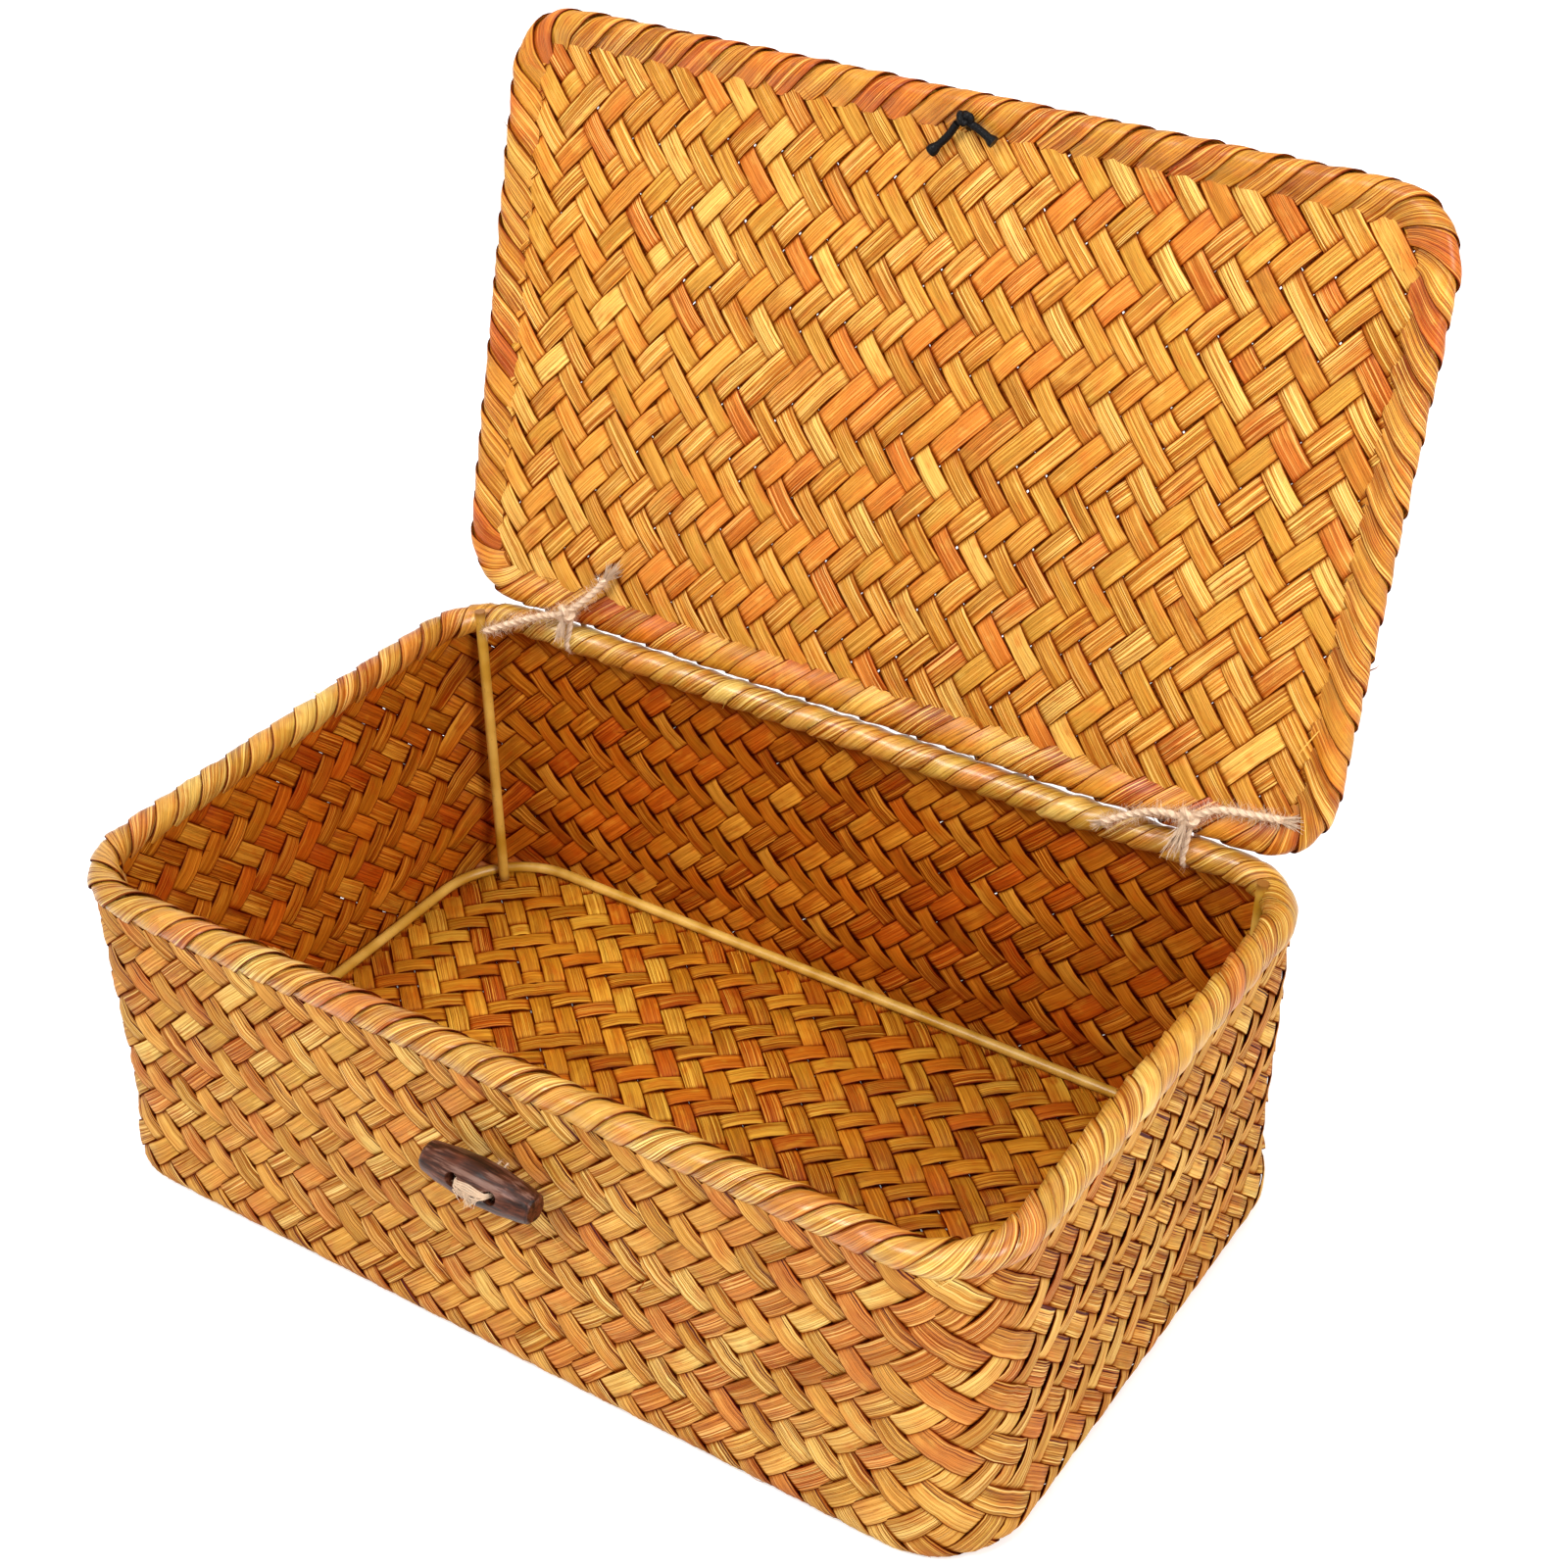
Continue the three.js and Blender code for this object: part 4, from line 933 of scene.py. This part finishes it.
def straw_group():
    """Colour, roughness, height and sheen of a flat dried strip, from where a point lies on it; its colour
    holds painted shade and painted light.
    """
    tree = bpy.data.node_groups.new("Dried strip", "ShaderNodeTree")
    for way, labels in (("INPUT", ("Along", "Across", "Strip", "Lie", "Fade", "Depth", "Crease", "Tint")),
                        ("OUTPUT", ("Colour", "Roughness", "Height", "Sheen"))):
        for label in labels:
            kind = "Color" if label in ("Tint", "Colour") else "Float"
            tree.interface.new_socket(label, in_out=way, socket_type=f"NodeSocket{kind}")
    nodes = Nodes(tree)
    given = nodes.flows("NodeGroupInput")
    along, across, strip = given.along, given.across, given.strip
    cloud = nodes.noise(across * 0.5, along * 55.0, strip * 90.0, 2.0)
    tone = (strip * 7.13 + (cloud - 0.5) * 0.22).fraction()
    colour = colour_ramp(nodes, tone, [
        (0.00, 224, 150, 56), (0.12, 198, 158, 72), (0.26, 226, 164, 72), (0.38, 200, 156, 70),
        (0.50, 234, 170, 76), (0.57, 182, 132, 58), (0.66, 224, 138, 50), (0.74, 196, 110, 42),
        (0.82, 236, 182, 92), (0.92, 248, 206, 120), (1.00, 222, 150, 54)])
    fibrous = ((strip * 23.7).fraction() + (cloud - 0.5) * 0.7).smooth(0.1, 0.8, 0.25, 0.95)

    veins = nodes.noise(across * 3.6, along * 8.0, strip * 130.0, 1.5)
    fibres = nodes.noise(across * 9.0, along * 14.0, strip * 70.0, 3.0, 0.6)
    grain = nodes.noise(across * 13.0, along * 20.0, strip * 55.0, 2.0)
    blotch = nodes.noise(across * 0.9, along * 130.0, strip * 33.0, 2.0)
    line = abs(veins - 0.5).smooth(0.045, 0.015)
    second = abs(fibres - 0.46).smooth(0.04, 0.012)
    # Painted shade: the strip darkens where it dives under its neighbour, as strongly as the Depth input
    # says.
    painted_dive_shade = given.lie.smooth(0.62, -0.15) * given.depth
    # Split lines across the strip, painted dark on one side of it only: real splits, with painted shade on
    # the side of a cupped strip that turns away from the light.
    crack = abs((across * 12.5 + (veins - 0.5) * 9.0).sine())
    crease = crack.smooth(0.62, 0.2) * (across + (blotch - 0.5) * 0.9).smooth(0.05, 0.55)
    # The strip's sides painted dark: its own dark edges, with painted shade in the gaps between neighbours.
    edge = (abs(across) + (fibres - 0.5) * 0.1).smooth(0.86, 0.97)
    # Own tones, streaks and fibre lines first; then the paler outer side, which is painted light, and the
    # dive shade, split lines and dark sides, which are painted shade.
    for share, end in (
            (blotch.smooth(0.52, 0.72) * 0.5, (212, 114, 30)),
            (blotch.smooth(0.44, 0.28) * 0.4, (240, 196, 112)),
            (fibres.smooth(0.52, 0.64) * fibrous * 0.7, (255, 224, 160)),
            (grain.smooth(0.55, 0.3) * (fibrous * 0.4 + 0.08), (160, 76, 12)), (given.fade, (236, 200, 146)),
            (painted_dive_shade * 0.9, (118, 36, 0)), (line * (0.06 + fibrous * 0.52), (116, 32, 0)),
            (second * fibrous * 0.42, (140, 50, 2)), (crease * given.crease, (78, 8, 0)),
            (edge * 0.9, (76, 16, 0))):
        colour = nodes.mixed(share, colour, end)
    # The tint carries painted light and shade, set apart for each side of each part.
    colour = nodes.mixed(1.0, colour, given.tint, "MULTIPLY")
    split = nodes.flows("ShaderNodeSeparateColor", {"Color": colour})
    ripe = (split.red * 1.5).smallest(1.3)
    colour = nodes.add("ShaderNodeCombineColor", {
        "Red": split.red, "Green": split.green * ripe ** 0.45, "Blue": split.blue * ripe ** 1.6})
    sheen = (1.0 - painted_dive_shade * 0.9) * (1.0 - edge * 0.9) * (1.0 - line * fibrous * 0.6)
    roughness = 0.4 + grain * 0.14 + fibrous * 0.1
    height = grain * 0.4 + fibres * 0.6 * fibrous - line * 0.9 * fibrous - second * 0.4 + (cloud - 0.5) * 0.3
    nodes.node("NodeGroupOutput", {
        "Colour": colour, "Roughness": roughness, "Height": height, "Sheen": sheen})
    return tree


def new_material(name):
    material = bpy.data.materials.new(name)
    material.use_nodes = True
    material.node_tree.nodes.clear()
    nodes = Nodes(material.node_tree)
    shader = nodes.node("ShaderNodeBsdfPrincipled")
    nodes.node("ShaderNodeOutputMaterial", {"Surface": Flow(nodes, shader.outputs["BSDF"])})
    return material, nodes, shader


def finished(material, nodes, shader, height, relief, **sockets):
    """Feeds the shader's sockets, and bumps it by a height over that many millimetres."""
    sockets["normal"] = nodes.add("ShaderNodeBump", {"Height": height, "Distance": relief * MM})
    for socket in shader.inputs:
        if plain_name(socket.name) in sockets:
            nodes.feed(socket, sockets[plain_name(socket.name)])
    return material


def straw_material(name, group, fade, depth, tints, crease=0.0, gloss=0.0):
    """A plaited strip's finish. Its outer side is painted paler by the first number, as painted light; the
    second sets the painted shade where a strip dives under another, and the split lines on the outer side are
    darkened on one side of the strip, real splits with painted shade. The tints are for its inner and its
    outer side, and carry painted shade and light too."""
    material, nodes, shader = new_material(name)
    along, across, strip, lie, top = nodes.attributes("along", "across", "strip", "lie", "top")
    straw = nodes.flows("ShaderNodeGroup", {
        "Along": along, "Across": across, "Strip": strip, "Lie": lie, "Fade": top * fade, "Depth": depth,
        "Crease": top * crease, "Tint": nodes.mixed(top, *[(*tint, 1.0) for tint in tints])}, node_tree=group)
    return finished(material, nodes, shader, straw.height, 0.28, base_color=straw.colour,
                    roughness=straw.roughness, coat_weight=straw.sheen * (0.36 + gloss * 3.6),
                    coat_roughness=0.5 - gloss, specular_ior_level=0.0)


def wire_paint():
    """Golden lacquer on wire: a little lighter and darker along it, worn brown at the ends of the posts."""
    material, nodes, shader = new_material("golden_wire_paint")
    along, share = nodes.attributes("along", "share")
    x, y, z = nodes.object_place()
    cloud = nodes.noise(along * 70.0, x * 60.0, 0.0, 2.0)
    speck = nodes.noise(x * 900.0, y * 900.0, z * 900.0, 2.0)
    colour = nodes.mixed(cloud.smooth(0.3, 0.7), (178, 128, 30), (214, 170, 78))
    colour = nodes.mixed(speck.smooth(0.62, 0.78) * 0.5, colour, (136, 88, 26))
    colour = nodes.mixed(abs(share - 0.5).smooth(0.47, 0.5) * 0.8, colour, (120, 66, 24))
    return finished(material, nodes, shader, cloud * 0.7 + speck * 0.3, 0.12, base_color=colour,
                    roughness=0.3 + cloud * 0.2)


def jute_fibre():
    """Pale three-strand jute: painted shade in the lay between strands, fine fibres along them."""
    material, nodes, shader = new_material("jute")
    along, across = nodes.attributes("along", "across")
    strand = abs((across * (3 * math.pi)).sine())
    fibre = nodes.noise(across * 26.0, along * 260.0, 0.0, 3.0, 0.65)
    cloud = nodes.noise(along * 110.0, across, 3.0, 1.0)
    # Painted shade: darker in the grooves of the lay between strands.
    colour = nodes.mixed(strand.smooth(0.0, 0.5), (156, 108, 78), (228, 200, 168))
    colour = nodes.mixed(fibre.smooth(0.45, 0.68) * 0.7, colour, (255, 238, 216))
    colour = nodes.mixed(fibre.smooth(0.45, 0.3) * 0.5, colour, (178, 122, 84))
    colour = nodes.mixed(cloud * 0.25, colour, (220, 168, 118))
    return finished(material, nodes, shader, fibre, 0.2, base_color=colour, roughness=0.7)


def elastic_rubber():
    """Black elastic cord: a fine braid with a dull sheen."""
    material, nodes, shader = new_material("elastic_black")
    along, across = nodes.attributes("along", "across")
    one = abs(((across * 6.0 + along * 900.0) * math.pi).sine())
    other = abs(((across * 6.0 - along * 900.0) * math.pi).sine())
    braid = one.largest(other)
    lint = nodes.noise(across * 14.0, along * 400.0, 0.0, 3.0)
    colour = nodes.mixed(braid, (1, 1, 2), (14, 13, 14))
    colour = nodes.mixed(lint.smooth(0.68, 0.8) * 0.2, colour, (96, 84, 76))
    return finished(material, nodes, shader, braid + lint * 0.3, 0.09, base_color=colour,
                    roughness=0.24 + lint * 0.2, specular_ior_level=0.1)


def toggle_timber():
    """Dark brown wood with its grain along the barrel, with a grey sheen painted on the side that faces up,
    as painted light.
    """
    material, nodes, shader = new_material("dark_wood")
    x, y, z = nodes.object_place()
    grain = nodes.noise(x * 60.0, y * 900.0, z * 900.0, 4.0, 0.6)
    cloud = nodes.noise(x * 90.0, y * 260.0, z * 260.0, 2.0)
    # Painted highlight: a streaky grey sheen on the barrel's upper side.
    painted_top_sheen = (z + (cloud - 0.5) * 5.0 * MM).smooth(76.0 * MM, 80.0 * MM)
    colour = nodes.mixed(grain.smooth(0.35, 0.68), (30, 11, 5), (88, 42, 22))
    colour = nodes.mixed(cloud.smooth(0.52, 0.75) * 0.4, colour, (120, 58, 32))
    colour = nodes.mixed(painted_top_sheen * (0.02 + grain.smooth(0.5, 0.65) * 0.3), colour, (142, 118, 104))
    colour = nodes.mixed(grain.smooth(0.38, 0.28) * 0.7, colour, (16, 6, 3))
    return finished(material, nodes, shader, grain, 0.18, base_color=colour, roughness=0.26 + grain * 0.2,
                    specular_ior_level=0.2)


# Stage


def shown_itself(nodes):
    """1 for what the camera sees directly, in gloss or through glass."""
    light = nodes.flows("ShaderNodeLightPath")
    return light.is_camera_ray.largest(light.is_glossy_ray).largest(light.is_transmission_ray)


def build_stage():
    floor = added_mesh("stage_floor", [(-4, -4, 0), (4, -4, 0), (4, 4, 0), (-4, 4, 0)], [], [(0, 1, 2, 3)])
    material, nodes, shader = new_material("pale_floor")
    x, y, _ = nodes.object_place()
    away = (x * x + y * y).root()
    glow = shown_itself(nodes) * away.smooth(0.35, 1.3, 0.3, 0.6)
    for label, value in (("Base Color", (0.82, 0.82, 0.82, 1)), ("Roughness", 0.9),
                         ("Specular IOR Level", 0.0), ("Emission Color", (1, 1, 1, 1)),
                         ("Emission Strength", glow)):
        nodes.feed(shader.inputs[label], value)
    floor.data.materials.append(material)

    world = bpy.data.worlds.new("studio")
    bpy.context.scene.world = world
    world.use_nodes = True
    world.node_tree.nodes.clear()
    nodes = Nodes(world.node_tree)
    background = nodes.add("ShaderNodeBackground", {
        "Color": (1, 1, 1, 1), "Strength": 0.6 + shown_itself(nodes) * 0.4})
    nodes.node("ShaderNodeOutputWorld", {"Surface": background})


def set_lights():
    for name, place, size, power in (("front_lamp", (-0.5, -1.4, 1.8), 0.8, 37),
                                     ("side_lamp", (1.7, -0.5, 1.2), 0.8, 31),
                                     ("top_lamp", (0.0, 0.2, 2.0), 1.0, 10)):
        data = bpy.data.lights.new(name, "AREA")
        data.shape = "DISK"
        data.size = size
        data.energy = power
        turn = (Vector((0, 0, 0.1)) - Vector(place)).to_track_quat("-Z", "Y").to_matrix().to_4x4()
        added(name, data).matrix_world = Matrix.Translation(place) @ turn
    bpy.context.scene.view_settings.view_transform = "Standard"


def mix_straws():
    """The finish of each part of the plait, with tints as shares of red, green and blue: one straw, tinted
    darker and redder on the inner sides and the floor's top as painted shade, and paler outside and on the
    lid's top as painted light.
    """
    group = straw_group()
    # Tints: inside and floor are darker, painted shade; outside, rim and lid are paler, painted light.
    outside, inside, floor = (0.85, 0.76, 0.5), (0.76, 0.48, 0.13), (0.78, 0.62, 0.19)
    rim, lid, border = (0.88, 0.83, 0.5), (1.08, 0.85, 0.43), (0.98, 0.76, 0.34)
    # First number: the paler outer side, painted light; second: strength of the painted shade where strips
    # dive under.
    return {
        "rising": straw_material("rising_wall_straw", group, 0.18, 0.9, (inside, outside)),
        "falling": straw_material("falling_wall_straw", group, 0.18, 0.9, (inside, outside), crease=1.0),
        "floor": straw_material("floor_straw", group, 0.0, 0.9, (outside, floor)),
        "rim": straw_material("rim_straw", group, 0.14, 0.4, (inside, rim), gloss=0.17),
        "lid": straw_material("lid_straw", group, 0.08, 0.7, (outside, lid)),
        "border": straw_material("lid_border_straw", group, 0.0, 0.4, (border, border), gloss=0.1),
    }


def make_everything():
    set_camera()
    jute = jute_fibre()
    tools = SimpleNamespace(
        plait=plait_tree(), wrap=wrap_tree(), line=line_tree(), section=strip_section(),
        sliver=sliver_shape(), hair=hair_shape(), round=round_section("round_section", 20),
        fine=round_section("fine_section", 5), lobed=round_section("lobed_section", 24, 3, 0.24))
    tie_elastic(tools, elastic_rubber())
    tie_twine(tools, jute)
    carve_toggle(tools, toggle_timber(), jute)
    bend_wires(tools, wire_paint())
    straws = mix_straws()
    weave_basket(tools, straws)
    weave_lid(tools, straws)
    for helper in [o for o in bpy.data.objects if o.type == "CURVE"] + [tools.sliver, tools.hair]:
        bpy.data.objects.remove(helper)
    build_stage()
    set_lights()


make_everything()
